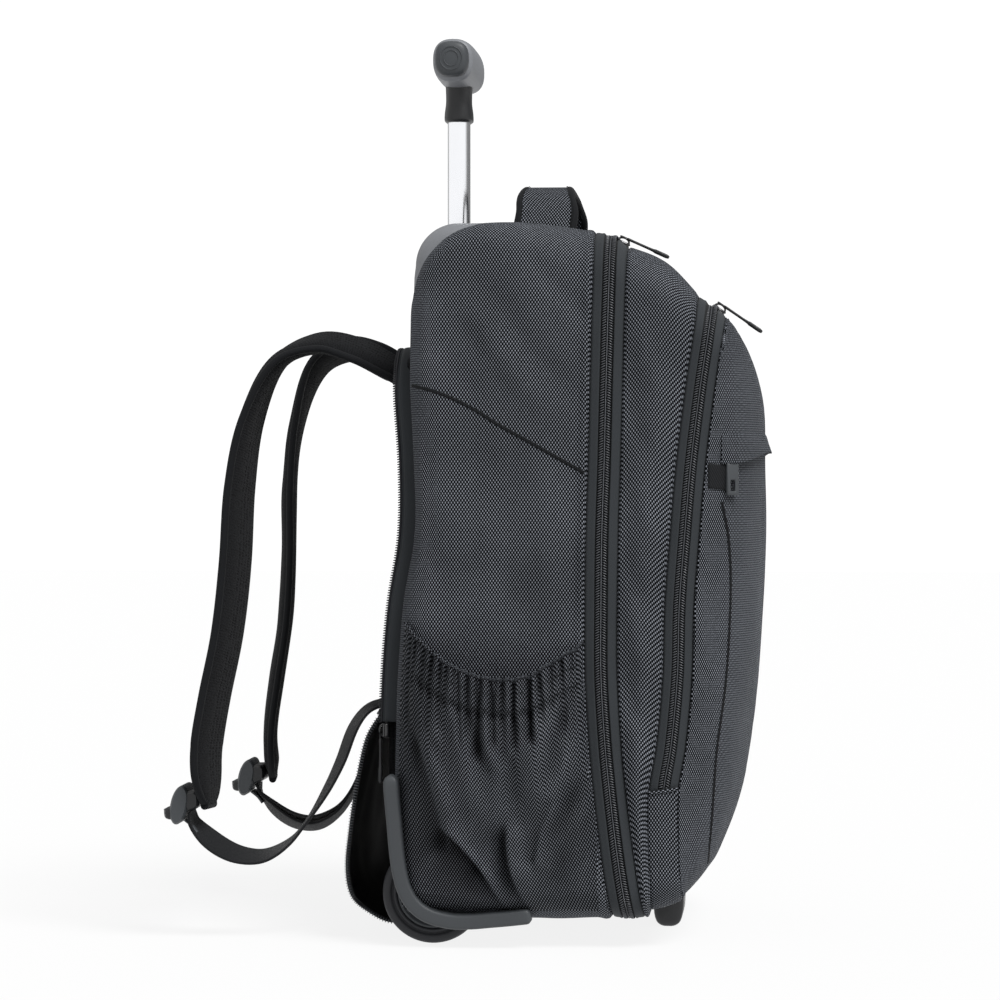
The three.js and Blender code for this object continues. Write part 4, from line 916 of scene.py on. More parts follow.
tapeGrid, _ = tapeRows("second", bag["frontTape"], frontTape)
tapeGrid = keepColumns(tapeGrid, tapeGrid[len(tapeGrid) // 2, :, 2] >= frontZipEnd - 3)
piece = addGrid("frontZipTape", tapeGrid, (140, 0, 250))
keepPaintedShade(piece, np.repeat(tapePaintedShade, tapeGrid.shape[1]))
addWall(piece, 0.9)
finishPiece(piece, "zip_tape", "front_zip_tape", finish=tapeCloth)
ridge, ridgeWays = tapeRows("second", bag["frontTape"], frontTape, profile=[(0, 0)])
both = keepColumns(np.concatenate([ridge, ridgeWays]), ridge[0, :, 2] >= frontZipEnd)
coilZip("frontZipCoil", both[0], both[1], False)
print("front zip made")


# The middle gusset: cloth between the two zips, closed under the front zip's end
gussetTable = {"half": [150, 152, 146], "lowIn": [0.002, 0.004, 0.014], "highIn": [0.034, 0.062, 0.104]}


def gussetGrid():
    rows = []
    for share in np.concatenate([[0, 0.015, 0.04, 0.07], np.linspace(0.1, 0.9, 20), [0.93, 0.96, 0.985, 1]]):
        def xOf(z, share=share):
            start, end = lineAt("zip", z) + bag["mainTape"], lineAt("second", z) - bag["frontTape"]
            return start + (end - start) * share
        half, lowIn, highIn = columnsAt([0, 0.55, 1], gussetTable, share)
        edge = min(share, 1 - share)
        puff = 1.6 * humped(share) + hemLip * soften(edge / 0.05) - 0.9 * (1 - soften(edge / 0.03))
        points, outward = bagRow(half, lowIn, highIn, xOf)
        span = lineAt("second", points[:, 2]) - lineAt("zip", points[:, 2]) - bag["frontTape"] - bag["mainTape"]
        rows.append(points + outward * (puff * np.clip(span / 18, 0.05, 1))[:, None])
    return np.array(rows)


gussetPoints = gussetGrid()
gussetUvs = overUvs(gussetPoints)
ways = np.zeros_like(gussetPoints)
ways[..., 1] = np.sign(gussetPoints[..., 1]) * (np.abs(gussetPoints[..., 1]) > 142)
edgeFade = humped(np.linspace(0, 1, len(gussetPoints)), 4)[:, None]
gussetPoints = clothRelief(gussetPoints, ways, edgeFade * 0.9, 7)
gussetPoints += ways * (foldSum(gussetPoints, gussetFolds) * edgeFade)[..., None]
gusset = addGrid("gussetCloth", gussetPoints, (130, 0, 250), closedColumns=True, uvs=gussetUvs)
addWall(gusset, bag["cloth"])
finishPiece(gusset, "woven_cloth", "front_body", finish=wovenCloth)
print("gusset made")


# The front's dome: rows from the front zip in to the middle
domeTable = {
    "wide": [1.0, 0.965, 0.91, 0.8, 0.6, 0.3],
    "lowIn": [0.028, 0.033, 0.042, 0.062, 0.1, 0.24],
    "highIn": [0.136, 0.14, 0.144, 0.155, 0.19, 0.32],
    "out": [0, 0.24, 0.5, 0.74, 0.91, 0.99],
}


def domeGrid():
    rows = []
    for at in np.concatenate([[0, 0.06, 0.12], np.linspace(0.2, 5, 46)]):
        wide, lowIn, highIn, out = columnsAt(range(6), domeTable, at)
        def xOf(z, out=out):
            a, b = lineAt("second", z), lineAt("front", z)
            return a + (b - a) * out + bag["frontTape"] * (1 - out)
        lip = hemLip * soften(at / 0.12) - 0.9 * (1 - soften(at / 0.05))
        rows.append(bagRow(bag["frontHalf"] * wide, lowIn, highIn, xOf, bag["topRound"] * (1 - 0.4 * out),
                           bag["lowRound"] + 18 * out, lip * (1 - out))[0])
    last = rows[-1]
    centre = last.mean(0)
    for share in (0.86, 0.72, 0.58, 0.45, 0.33, 0.22, 0.13, 0.06, 0.004):
        inner = centre + (last - centre) * share
        inner[:, 0] = lineAt("front", inner[:, 2]) * 0.99 + lineAt("second", inner[:, 2]) * 0.01
        rows.append(inner)
    return np.array(rows)


def treeOf(piece):
    mesh = piece.data
    return BVHTree.FromPolygons([v.co[:] for v in mesh.vertices], [p.vertices[:] for p in mesh.polygons])


domePoints = domeGrid()
domeCentre = np.array([120, 0, 240])
domeWays = unit((domePoints - domeCentre) * [1, 0.7, 0.3])
domeFade = soften(np.arange(len(domePoints)) / 6)[:, None]
domePoints = clothRelief(domePoints, domeWays, domeFade * 0.9, 11)
dome = addGrid("domeCloth", domePoints, domeCentre, closedColumns=True, uvs=frontUvs(domePoints))
domeTree = treeOf(dome)
addWall(dome, bag["cloth"])
finishPiece(dome, "woven_cloth", "front_panel", finish=wovenCloth)
print("dome made")


# Below the front zip's end a panel of cloth laps over the tape
def lowerStrip():
    rows = []
    for across in np.linspace(-1.16, 1.1, 14):
        half, lowIn, highIn = columnsAt([-1, 0, 1], frontTape, across)
        points, _ = bagRow(
            half, lowIn, highIn, lambda z: lineAt("second", z) + across * bag["frontTape"],
            lift=1.7 + 0.5 * (1 - across * across) - 2.2 * soften((abs(across) - 0.98) / 0.14),
        )
        rows.append(points)
    grid = np.array(rows)
    grid = keepColumns(grid, grid[0, :, 2] <= frontZipEnd + 2)
    piece = addGrid("lowerStrip", grid, (120, 0, 250), uvs=overUvs(grid))
    finishPiece(addWall(piece, bag["cloth"]), "woven_cloth", finish=wovenCloth)
    parts = []
    for column in (0, -1):
        edge = spread(grid[1:-1, column], 1.2)
        side = np.sign(edge[0, 1])
        lip = sweep("stripLip", edge + [0, side * 0.3, -0.6], roundProfile(2.4, 2.2, 3),
                       [0.0, side, 0.0], wovenCloth)
        groove = sweep("stripGroove", edge + [0, side * 0.4, 0.9], roundProfile(0.8, 0.7, 2),
                          [0.0, side, 0.0], threadNylon)
        parts += [lip, groove]
    finishPiece(joinPieces("lowerStripEdge", parts), "woven_cloth")


lowerStrip()


# Finds the surface's points and outward directions at places on a side: side is -1 for the near one
def onSide(tree, xz, side, lift=0.0):
    points, ways = [], []
    for x, z in xz:
        start = toFrame(np.array([x, side * 320.0, z]))
        hit, normal, _, _ = tree.ray_cast(Vector(start), Vector((0, -side, 0)))
        if hit is None:
            continue
        if normal.y * side < 0:
            normal = -normal
        points.append(fromFrame(hit) + np.array(normal) * lift)
        ways.append(np.array(normal))
    return np.array(points), np.array(ways)


tubTree = treeOf(tub)

# A lapped seam: a low ridge of turned cloth with a thread line on one side of it
seam = {"lip": 2.0, "rise": 0.6, "thread": 0.6}
seamProfile = [(-0.5, -0.6), (-0.46, 0.25), (-0.3, 0.8), (-0.05, 1.0), (0.2, 0.9), (0.4, 0.5), (0.5, -0.6)]


def lappedSeam(name, tree, xz, flip=1):
    parts = []
    for side, _ in sides:
        points, ways = onSide(tree, curveThrough(xz, 2.5), side)
        profile = [(a * seam["lip"] * side * flip, b * seam["rise"]) for a, b in seamProfile]
        lip = sweep(f"{name}Lip", points, profile, ways, bindingTape)
        across = unit(np.cross(unit(np.gradient(points, axis=0)), ways))
        groove = points - across * (side * flip * seam["lip"] * 0.62) + ways * 0.15
        cord = sweep(f"{name}Groove", groove, roundProfile(seam["thread"], 0.5, 2), ways, threadNylon)
        parts += [lip, cord]
    finishPiece(joinPieces(name, parts), "woven_cloth")


lappedSeam("sideSeam", tubTree, [(-15.5, 384), (8, 377.5), (32, 366), (47, 356.5), (66, 346), (106, 323.5)], flip=-1)
lappedSeam("frontSeam", domeTree, [(199, 304), (203.3, 280), (204.8, 249), (203.4, 208), (201, 177), (195.3, 133.5),
                                   (191.9, 87), (189, 56)])
print("seams made")


# Side pockets: cloth gathered on an elastic mouth, with folds that fan down to the foot
pocket = {
    "low": 26,
    "mouth": 198,
    "bulge": 30,
    "band": 0.845,  # height of the elastic's lower seam, as a share
    "tucks": 25,
    "flat": (0.236, 0.195),  # metres
    "cut": 0.0306,  # square metres
}
pocketTable = {
    "along": [0, 0.12, 0.3, 0.5, 0.7, 0.86, 1],
    "mouth": [0.12, 0.055, -0.02, -0.06, -0.055, 0, 0.055],
    "bulge": [0.04, 0.45, 0.86, 1, 0.92, 0.55, 0],
}
# A row for each soft fold: its upper end, its lower end, its width and how far it stands out (in, if
# less than 0)
softFolds = [
    # x0, z0, x1, z1, wide, out
    (19, 78, 56, 31, 7, 2.6),
    (61, 84, 70, 32, 7, 2.4),
    (-4, 160, 16, 88, 7, 3.6),
    (20, 160, 37, 92, 9, 3.0),
    (31, 166, 44, 118, 5, -2.6),
    (44, 164, 56, 84, 10, 2.4),
    (62, 162, 60, 96, 6, -2.4),
    (82, 166, 78, 98, 9, 2.6),
    (97, 172, 84, 112, 6, -3.0),
    (108, 152, 78, 84, 8, 3.4),
    (113, 124, 84, 72, 8, -3.6),
    (116, 104, 90, 66, 7, 3.0),
    (99, 80, 86, 40, 7, -2.8),
    (112, 62, 104, 34, 6, 2.0),
    (-17, 196, -6, 128, 5, -3.2),
    (-2, 180, 8, 140, 4, 2.4),
    (6, 66, -8, 36, 9, 2.2),
    (36, 60, 30, 40, 8, -1.6),
]
# A row for each pleat, where the cloth on the right laps over the left: its ends, how far its left side
# drops and its right side stands, and how far each reaches
pleats = [
    # x0, z0, x1, z1, bow, drop, stand, left, right, edge
    (9, 84, 51, 28, -4.0, 11.5, 5.8, 7, 13, 1.0),
    (54, 86, 67, 28, 4.5, 10, 5.0, 7, 11, 1.0),
    (-9, 150, 12, 74, -2.0, 7.4, 3.8, 10, 15, 2.6),
    (88, 104, 72, 60, 3.0, 4.2, 3.0, 8, 9, 2.4),
]


def pocketFolds(x, z):
    total = np.zeros_like(x)
    for x0, z0, x1, z1, wide, out in softFolds:
        t, right = alongFold(x, z, x0, z0, x1, z1)
        right = right + 2.2 * np.sin(math.pi * np.clip(t, 0, 1))
        width = wide * (0.55 + 0.6 * np.clip(t, 0, 1))
        total += out * soften((t + 0.25) / 0.45) * soften((1.2 - t) / 0.4) * np.exp(-((right / width) ** 2))
    for x0, z0, x1, z1, bow, drop, stand, left, reach, edge in pleats:
        t, right = alongFold(x, z, x0, z0, x1, z1)
        right = right + bow * np.sin(math.pi * np.clip(t, 0, 1))
        ends = soften((t + 0.06) / 0.22) * soften((1.12 - t) / 0.16)
        over = 0.5 + 0.5 * np.tanh(right / edge)
        low = -drop * np.exp(np.minimum(right, 0) / left)
        high = stand * np.exp(-np.maximum(right, 0) / reach)
        total += ends * (low * (1 - over) + high * over)
    return total


def pocketGrid(columns=240, rows=170):
    along = np.linspace(0, 1, columns)[None, :]
    up = np.linspace(0, 1, rows)[:, None]
    chance = np.random.default_rng(12)
    tucks = np.zeros((rows, columns))
    bump = np.zeros((1, columns))
    for k in range(pocket["tucks"]):
        place = (k + 0.5 + 0.46 * chance.uniform(-1, 1)) / pocket["tucks"]
        deep, wide = chance.uniform(1.2, 4.2), chance.uniform(0.005, 0.0115)
        reach, slant = chance.uniform(0.04, 0.24), (place - 0.5) * 0.12 + chance.uniform(-0.07, 0.07)
        at = along - place - slant * (1 - up)
        foot = soften((up - (pocket["band"] - reach)) / 0.09)
        wide = wide * (1 + 1.6 * (1 - up) / 0.3)
        tucks -= deep * foot * np.exp(-((at / wide) ** 2))
        tucks += deep * 0.4 * foot * np.exp(-(((at - wide * 2.1) / (wide * 1.5)) ** 2))
        bump -= deep * 0.5 * np.exp(-(((along - place) / 0.011) ** 2))
    mouth = smoothAt(pocketTable["along"], pocketTable["mouth"], along)
    belly = smoothAt(pocketTable["along"], pocketTable["bulge"], along) * pocket["bulge"]
    top = pocket["mouth"] * (1 + mouth) + bump
    z = pocket["low"] + (top - pocket["low"]) * up
    start = lineAt("back", z) + 4
    end = lineAt("zip", z) - bag["mainTape"] - 1
    x = start + (end - start) * along
    rise = np.sin(math.pi / 2 * np.minimum(1, 1.25 * up)) ** 0.8 * (1 - 0.12 * up ** 8)
    edge = np.sin(math.pi * along)
    under = np.clip((bagFloor + 20 - z) / 20, 0, 1)
    rest = 1 - np.clip((x - lineAt("back", z)) / bag["backRound"], 0, 1)
    base = bag["half"] - bag["backRound"] * rounded(rest) - 20 * rounded(under) + 1.5 * edge
    free = np.minimum(1, 6 * up) * np.minimum(1, 9 * np.minimum(along, 1 - along))
    folds = pocketFolds(x, z) * soften((pocket["band"] + 0.03 - up) / 0.08)
    cinch = -2.0 * np.exp(-(((up - pocket["band"]) / 0.02) ** 2)) - 1.0 * soften((up - 0.86) / 0.1)
    slack = 1.5 * lumps(np.stack([x, z * 0.7, np.zeros_like(z)], -1), 34, 21)
    slack += 0.5 * lumps(np.stack([x, z * 0.5, np.zeros_like(z)], -1), 11, 4)
    lowSeam = z - (37 - 0.14 * (x + 12))
    foot = -1.8 * np.exp(-((lowSeam / 1.3) ** 2)) + 1.2 * np.exp(-(((lowSeam - 2.6) / 2) ** 2))
    foot = foot * soften((56 - x) / 12)
    relief = (folds + tucks + cinch + slack + foot) * free
    y = -(base + 0.6 + belly * rise + relief)
    # Painted shade: the folds' hollows drawn darker and their ridges lighter as painted highlight, and the whole
    # pocket a little darker
    shade = np.clip(relief * 0.09 - 0.1, -0.82, 0.2)
    return np.stack([x, y, z], -1), shade, np.stack(np.broadcast_arrays(along * 150, up * 178), -1)


grid, shade, flat = pocketGrid()
for side, label in sides:
    spots = grid * [1, -side, 1]
    pouch = addGrid(f"pocketShadedCloth{label.title()}", spots, (40, 0, 120), uvs=flat)
    keepPaintedShade(pouch, shade)
    addWall(pouch, 1.4)
    finishPiece(pouch, "woven_cloth", f"side_pocket_{label}", finish=pocketShadedCloth)
    # The mouth's turned hem and the thread lines of its elastic
    roll = sweep(f"pocketHem{label.title()}", spread(spots[-1], 1.2), roundProfile(2.2, 2.4, 3), [0, side, 0],
                 pocketShadedCloth)
    finishPiece(roll, "woven_cloth")
    lines = [(spots[int(share * len(grid)), 4:-4], [0.0, side, 0.0], False) for share in (0.86, 0.93)]
    thread = stitches(f"pocketStitches{label.title()}", lines, lift=0.4)
print("pockets made")


# A ring of points round a long axis at each row: halves are the row's half sizes, power its squareness
def ovalStack(name, rows, axis="z", steps=48, power=1.0, centre=(0, 0)):
    # rows: place along the axis, half size on the first and second other axis
    turn = around(steps)
    c, s = squared(np.cos(turn), power), squared(np.sin(turn), power)
    rings = []
    for place, first, second in rows:
        a, b, p = centre[0] + first * c, centre[1] + second * s, np.full(steps, float(place))
        rings.append(np.stack({"z": [a, b, p], "y": [a, p, b], "x": [p, a, b]}[axis], 1))
    return addGrid(name, np.array(rings), closedColumns=True, ends=True)


# The trolley handle: pole, waisted neck, barrel grip and its two caps
handle = {
    "x": 6,
    "pole": (8, 12, 200, 578),
    "sleeve": (10.2, 14.2, 124, 494),
    "neckFoot": 576,
    "neckHeight": 29,
    "gripMiddle": 616.5,
    "gripHalf": (15.5, 16.5),
    "gripHalfLong": 48.7,
}
poleX = handle["x"]
a, b, low, high = handle["pole"]
pole = ovalStack("trolleyPole", [(low, a, b), (high, a, b)], power=0.75, centre=(poleX, 0))
finishPiece(pole, "pole_aluminium", "trolley_tube", finish=poleMetal, body="handle")
a, b, low, high = handle["sleeve"]
sleeve = ovalStack("poleSleeve", [(low, a, b), (high, a, b)], power=0.75, centre=(poleX, 0))
finishPiece(sleeve, "pole_aluminium", "trolley_outer_tube", finish=greyPlastic)
neckUps = [0, 0.1, 0.24, 0.5, 0.85, 1.25]
neckTable = {"deep": [0.6, 0.9, 0.7, -0.2, -0.1, 0.3], "wide": [3, 3.4, 3.2, 3, 6, 11]}
neckRows = []
for up in np.linspace(0, 1.25, 36):
    deep, wide = columnsAt(neckUps, neckTable, up)
    grow = 1 - 0.12 * (1 - min(up / 0.05, 1)) ** 2
    neckRows.append((handle["neckFoot"] + up * handle["neckHeight"], (9.4 + deep) * grow, (12 + wide) * grow))
neck = ovalStack("handleNeck", neckRows, power=0.75, centre=(poleX, 0))
finishPiece(neck, "dark_plastic", "handle_neck", finish=darkPlastic, body="handle")
gripRows = []
halfLong = handle["gripHalfLong"]
for t in np.linspace(-1, 1, 41):
    size = 1 - 0.1 * abs(t) ** 3 - 0.12 * max(0, (abs(t) - 0.94) / 0.06) ** 2
    gripRows.append((t * halfLong, handle["gripHalf"][0] * size, handle["gripHalf"][1] * size))
grip = ovalStack("handleGrip", gripRows, "y", power=0.8, centre=(poleX, handle["gripMiddle"]))
finishPiece(grip, "grey_plastic", "handle_grip", finish=paleGreyPlastic, body="handle")
capSteps = {"out": [0, 0.6, 1.6, 3.2, 6, 9, 10.6, 11.2], "size": [0.62, 0.8, 0.9, 0.97, 1, 1, 0.98, 0.94]}
for side, label in sides:
    rows = [(side * (60 - out), 11.8 * size, 12.5 * size) for out, size in zip(*capSteps.values())]
    piece = ovalStack(f"gripCap{label.title()}", rows[::-side], "y", power=0.7, centre=(poleX, handle["gripMiddle"]))
    rings = []
    for radius in (7.8, 5.2):
        turn = around(40)
        path = np.stack([poleX + radius * np.cos(turn), np.full(40, side * 60.1),
                         handle["gripMiddle"] + radius * 1.05 * np.sin(turn)], 1)
        ring = sweep("capRing", path, roundProfile(0.8, 0.7, 2), [0.0, side, 0.0], greyPlastic, True)
        rings.append(ring)
    piece = joinPieces(f"gripCap{label.title()}", [coat(piece, greyPlastic)] + rings)
    finishPiece(piece, "grey_plastic", f"grip_cap_{label}", body="handle")
print("trolley handle made")


# Wheels: a treaded tyre and a hub with a stepped face
wheel = {"radius": 35, "place": 118}


def lathe(name, profile, middle, steps=96):
    # profile: radius and place along y from the wheel's middle, outward face first
    turn = around(steps)
    rows = []
    for radius, along in profile:
        rows.append(np.stack([radius * np.cos(turn), np.full(steps, middle + along),
                              wheel["radius"] + radius * np.sin(turn)], 1))
    return addGrid(name, np.array(rows), (0, middle, wheel["radius"]), True, True)


tyreShape = [(24.6, -9.4), (25.4, -10.4), (26.6, -10.4), (27.2, -9.2), (28.2, -9.0), (28.8, -10.6), (30, -11),
             (32.8, -10.8), (34.0, -9.8), (34.7, -7.8), (35, -5), (35, -0.8), (34.2, -0.5), (34.2, 0.5), (35, 0.8),
             (35, 5), (34.7, 7.8), (34.0, 9.8), (32.8, 10.8), (30, 11), (28.8, 10.6), (28.2, 9.0), (27.2, 9.2),
             (26.6, 10.4), (25.4, 10.4), (24.6, 9.4)]
hubShape = [(4.3, -10.6), (8.2, -10.9), (9.2, -10.2), (9.8, -7.6), (14, -7.2), (14.6, -8.4), (16, -8.6), (16.8, -7.4),
            (21.5, -7.6), (22.4, -9.2), (24.2, -9.6), (24.2, 9.6), (22.4, 9.2), (21.5, 7.6), (16.8, 7.4), (16, 8.6),
            (14.6, 8.4), (14, 7.2), (9.8, 7.6), (9.2, 10.2), (8.2, 10.9), (4.3, 10.6)]
for side, label in sides:
    middle = side * wheel["place"]
    tyre = lathe(f"tyre{label.title()}", tyreShape, middle)
    finishPiece(tyre, "tyre_rubber", f"tyre_{label}", finish=tyreRubber, body=f"wheel_{label}")
    spokes = [coat(lathe(f"hub{label.title()}", hubShape, middle), greyPlastic)]
    for k in range(5):
        turn = 2 * math.pi * k / 5
        at = [(math.cos(turn) * r, middle + side * 7.2, wheel["radius"] + math.sin(turn) * r) for r in (9, 22)]
        spokes.append(sweep("spoke", spread(at, 3), roundProfile(3.4, 2.6, 3, 0.4), [0, side, 0], greyPlastic))
    hub = joinPieces(f"hub{label.title()}", spokes)
    finishPiece(hub, "dark_plastic", f"hub_{label}", body=f"wheel_{label}")
print("wheels made")

# Shoulder straps: padded mesh bands with bound edges, from the back panel over and down
strap = {"width": 60, "thick": 11, "reach": 137, "drop": 326, "crown": 415, "start": 17, "root": 60, "spread": 112,
         "bind": 7.5, "slant": 5, "step": 3}
pulls = {"near": 1.0, "far": 0.91}
strapTable = {
    "back": [-0.12, 0.02, 0.2, 0.4, 0.605, 0.73, 0.79, 0.82, 0.865, 0.93, 0.97, 0.955],
    "down": [0.092, 0.055, 0.015, 0, 0.044, 0.165, 0.31, 0.47, 0.62, 0.76, 0.88, 0.985],
    "out": [0, 0, 0.06, 0.16, 0.3, 0.42, 0.54, 0.68, 0.82, 0.93, 0.98, 1],
    "twist": [-14, -14, -14, -12, -4, 5, 9, 10, 10, 10, 9, 6],
    "grow": [0.76, 0.84, 1, 1, 1, 1, 1, 1, 1, 1, 1, 0.72],
}


def strapSpots(pull):
    back = lineAt("back", strap["crown"])
    t = {k: np.array(v, float) for k, v in strapTable.items()}
    x = back - strap["start"] - t["back"] * strap["reach"] * pull
    y = -(strap["root"] + t["out"] * (strap["spread"] - strap["root"]))
    z = strap["crown"] - t["down"] * strap["drop"]
    return np.stack([x, y, z, t["twist"], t["grow"]], 1)


def strapPath(pull):
    spots = strapSpots(pull)
    run = np.concatenate([[0], np.cumsum(np.sqrt(np.linalg.norm(np.diff(spots[:, :3], axis=0), axis=1)))])
    at = np.linspace(0, run[-1], 160)
    dense = np.stack([smoothAt(run, spots[:, k], at) for k in range(5)], 1)
    length = runOf(dense[:, :3])
    even = np.linspace(0, length[-1], int(length[-1] / strap["step"]))
    path = np.stack([np.interp(even, length, dense[:, k]) for k in range(5)], 1)
    return path[path[:, 0] < lineAt("back", path[:, 2]) - 5.5]


def strapBody(label, side):
    path = strapPath(pulls[label])
    path[:, 0] += strap["slant"] * soften((strap["crown"] - 60 - path[:, 2]) / 180)
    toEnd = (len(path) - 1 - np.arange(len(path))) * strap["step"]
    path[:, 4] = np.where(toEnd < 40, 1, path[:, 4]) * np.sqrt(1 - (1 - np.clip((toEnd + 1.5) / 26, 0, 1)) ** 2)
    points = path[:, :3] * [1, -side, 1]
    across, out = strapFrame(points, path[:, 3] * -side)
    count = len(path)
    even = np.linspace(0, 1, count)
    ends = soften(np.minimum(even, 1 - even) / 0.035)
    turn = around(40)
    a, b = squared(np.cos(turn), 0.42), squared(np.sin(turn), 0.62)
    half = (strap["width"] / 2 - strap["bind"] * 0.35) * path[:, 4]
    soft = 1 + 0.10 * lumps(points, 38, 5)
    thick = strap["thick"] / 2 * (0.55 + 0.45 * ends) * soft
    wide = a[None, :] * half[:, None]
    rise = b[None, :] * thick[:, None] * (1 - 0.28 * np.abs(a[None, :]) ** 4)
    grid = points[:, None] + across[:, None] * wide[..., None] + out[:, None] * rise[..., None]
    uvs = np.stack(np.broadcast_arrays(turn * 24, (even * count * strap["step"])[:, None]), -1)
    body = addGrid(f"strap{label.title()}", grid, closedColumns=True, ends=True, uvs=uvs)
    finishPiece(body, "air_mesh", f"shoulder_strap_{label}", finish=airMesh)
    binds, lines = [], []
    for edge in (-1, 1):
        shift = strap["width"] / 2 - strap["bind"] * 0.5
        rim = points + across * (edge * shift * path[:, 4])[:, None]
        profile = roundProfile(strap["bind"], 5.2, 4)
        grid = rim[:, None] + across[:, None] * profile[:, :1] + out[:, None] * profile[:, 1:]
        bind = addGrid(f"strapBind{label.title()}", grid, closedColumns=True, ends=True, uvs=arcUvs(grid))
        binds.append(coat(bind, bindingTape))
        for face in (-1, 1):
            inner = points + across * (edge * (shift - strap["bind"] * 0.18) * path[:, 4])[:, None]
            lines.append((inner + out * face * 2.75, out * face, False))
    tip = points[-1]
    end = tip + across[-1] * (half[-1] + strap["bind"] * 0.3) * np.linspace(-1, 1, 14)[:, None]
    binds.append(sweep("strapEndBind", end, roundProfile(strap["bind"], 5.6, 4), out[-1], bindingTape))
    binding = joinPieces(f"strapBinding{label.title()}", binds)
    finishPiece(binding, "air_mesh")
    stitches(f"strapStitches{label.title()}", lines, slot="air_mesh")


for side, label in sides:
    strapBody(label, side)
print("straps made")


# Lower webbing: from the buckle down in a loop to the bag's lower corner
web = {"width": 25, "thick": 2, "endHeight": 166, "drop": 9,
       "twist": [0, 22, 16, 5, 15, 20, 4]}
webTable = {
    "ahead": [-0.052, -0.035, 0.07, 0.19, 0.32, 0.45, 0.54, 0.64, 0.71, 0.78, 0.86, 1],
    "down": [-0.05, 0.06, 0.23, 0.33, 0.34, 0.22, 0.04, -0.23, -0.47, -0.77, -0.93, -1],
}


def webPath(label, side, lower):
    start = strapSpots(pulls[label])[-1]
    top = start[2] - web["drop"]
    rise = web["endHeight"] - top
    endX = lineAt("back", web["endHeight"]) - 3.5
    ahead, down = np.array(webTable["ahead"]), np.array(webTable["down"])
    x = start[0] + ahead * (endX - start[0])
    y = start[1] + ahead * 18
    z = top - down * np.where(down > 0, rise - lower, rise)
    return curveThrough(np.stack([x, y * -side, z], 1), 2.5)


# The far one is doubled: its second layer hangs lower
def webbing(label, side):
    parts = []
    for lower, lift in ((0, 0),) if side < 0 else ((0, 0), (14, 0.4)):
        points = webPath(label, side, lower)
        even = np.linspace(0, 1, len(points))
        twist = smoothAt([0, 0.12, 0.3, 0.45, 0.62, 0.8, 1], web["twist"], even)
        across, out = strapFrame(points, twist * -side)
        profile = roundProfile(web["width"], web["thick"], 3)
        grid = points[:, None] + across[:, None] * profile[:, :1] + out[:, None] * (profile[:, 1:] + lift)
        part = addGrid(f"webbing{label.title()}", grid, closedColumns=True, ends=True, uvs=arcUvs(grid))
        parts.append(coat(part, strapWeb))
    finishPiece(joinPieces(f"webbing{label.title()}", parts), "webbing", f"strap_webbing_{label}")


for side, label in sides:
    webbing(label, side)

# Buckles: a curved plate at the strap's end, a lug behind it, and a tongue for the thumb
buckle = {"wide": 34, "high": 27, "thick": 10, "off": 1.4}


def plateAcross(name, outline, y0, y1, steps=14, bend=1.6):
    # A side outline of (x, z) carried across from y0 to y1 with rounded ends
    outline = np.array(outline, float)
    middle = outline.mean(0)
    rows = []
    for t in np.linspace(0, 1, steps):
        edge = min(t, 1 - t) * (y1 - y0)
        inset = bend * rounded(1 - min(edge / bend, 1))
        reach = np.linalg.norm(outline - middle, axis=1, keepdims=True).clip(1)
        ring = middle + (outline - middle) * (1 - inset / reach)
        rows.append(np.stack([ring[:, 0], np.full(len(ring), y0 + (y1 - y0) * t), ring[:, 1]], 1))
    return addGrid(name, np.array(rows), closedColumns=True, ends=True)


def curveOutline(spots, step):
    return spread(curveThrough(spots, step), step)


def strapBuckle(label, side):
    at = strapSpots(pulls[label])[-1]
    t, h = buckle["thick"] / 2, buckle["high"]
    x = at[0] - strap["thick"] / 2 - t - buckle["off"]
    top = at[2] + h / 2
    y0, y1 = at[1] - buckle["wide"] / 2, at[1] + buckle["wide"] / 2
    y0, y1 = sorted((y0 * -side, y1 * -side))
    turn = around(56)
    outline = np.stack([x - 0.3 * t + 1.25 * t * np.cos(turn) + 0.08 * h * np.sin(turn),
                        top - h / 2 + h / 2 * np.sin(turn)], 1)
    plate = coat(plateAcross("bucklePlate", outline, y0, y1), greyPlastic)
    lugOutline = [(x - 2.6 * t, top - 0.62 * h), (x - 1.5 * t, top - 0.55 * h), (x - 1.1 * t, top - 0.7 * h),
                  (x - 1.5 * t, top - 0.88 * h), (x - 2.4 * t, top - 0.84 * h)]
    lugOutline = curveOutline(lugOutline + lugOutline[:1], 0.6)[:-1]
    lug = coat(plateAcross("buckleLug", lugOutline, y0 + 5, y1 - 5), darkPlastic)
    blockOutline = curveOutline([(x + 0.6 * t, top - 4), (x + 2.2 * t, top - 5), (x + 2.3 * t, top - 15),
                                 (x + 0.7 * t, top - 17), (x + 0.6 * t, top - 4)], 0.7)[:-1]
    block = coat(plateAcross("buckleBlock", blockOutline, y0 + 1, y1 - 1), darkPlastic)
    y = (y0 + y1) / 2
    tonguePath = [(x + 0.3 * t, y, top - 0.9 * h), (x + 1.3 * t, y, top - 1.05 * h), (x + 2.0 * t, y, top - 1.22 * h)]
    tongue = sweep("buckleTongue", curveThrough(tonguePath, 1), roundProfile(20, 1.8, 3), [1, 0, 0.6], greyPlastic)
    piece = joinPieces(f"buckle{label.title()}", [plate, lug, block, tongue])
    finishPiece(piece, "dark_plastic", f"strap_buckle_{label}")


for side, label in sides:
    strapBuckle(label, side)
print("webbing and buckles made")


# The back panel: air mesh over foam in two tall pads with a channel between them
panel = {"half": 112.7, "foot": 62, "top": 405.7, "thick": 7, "round": 14}


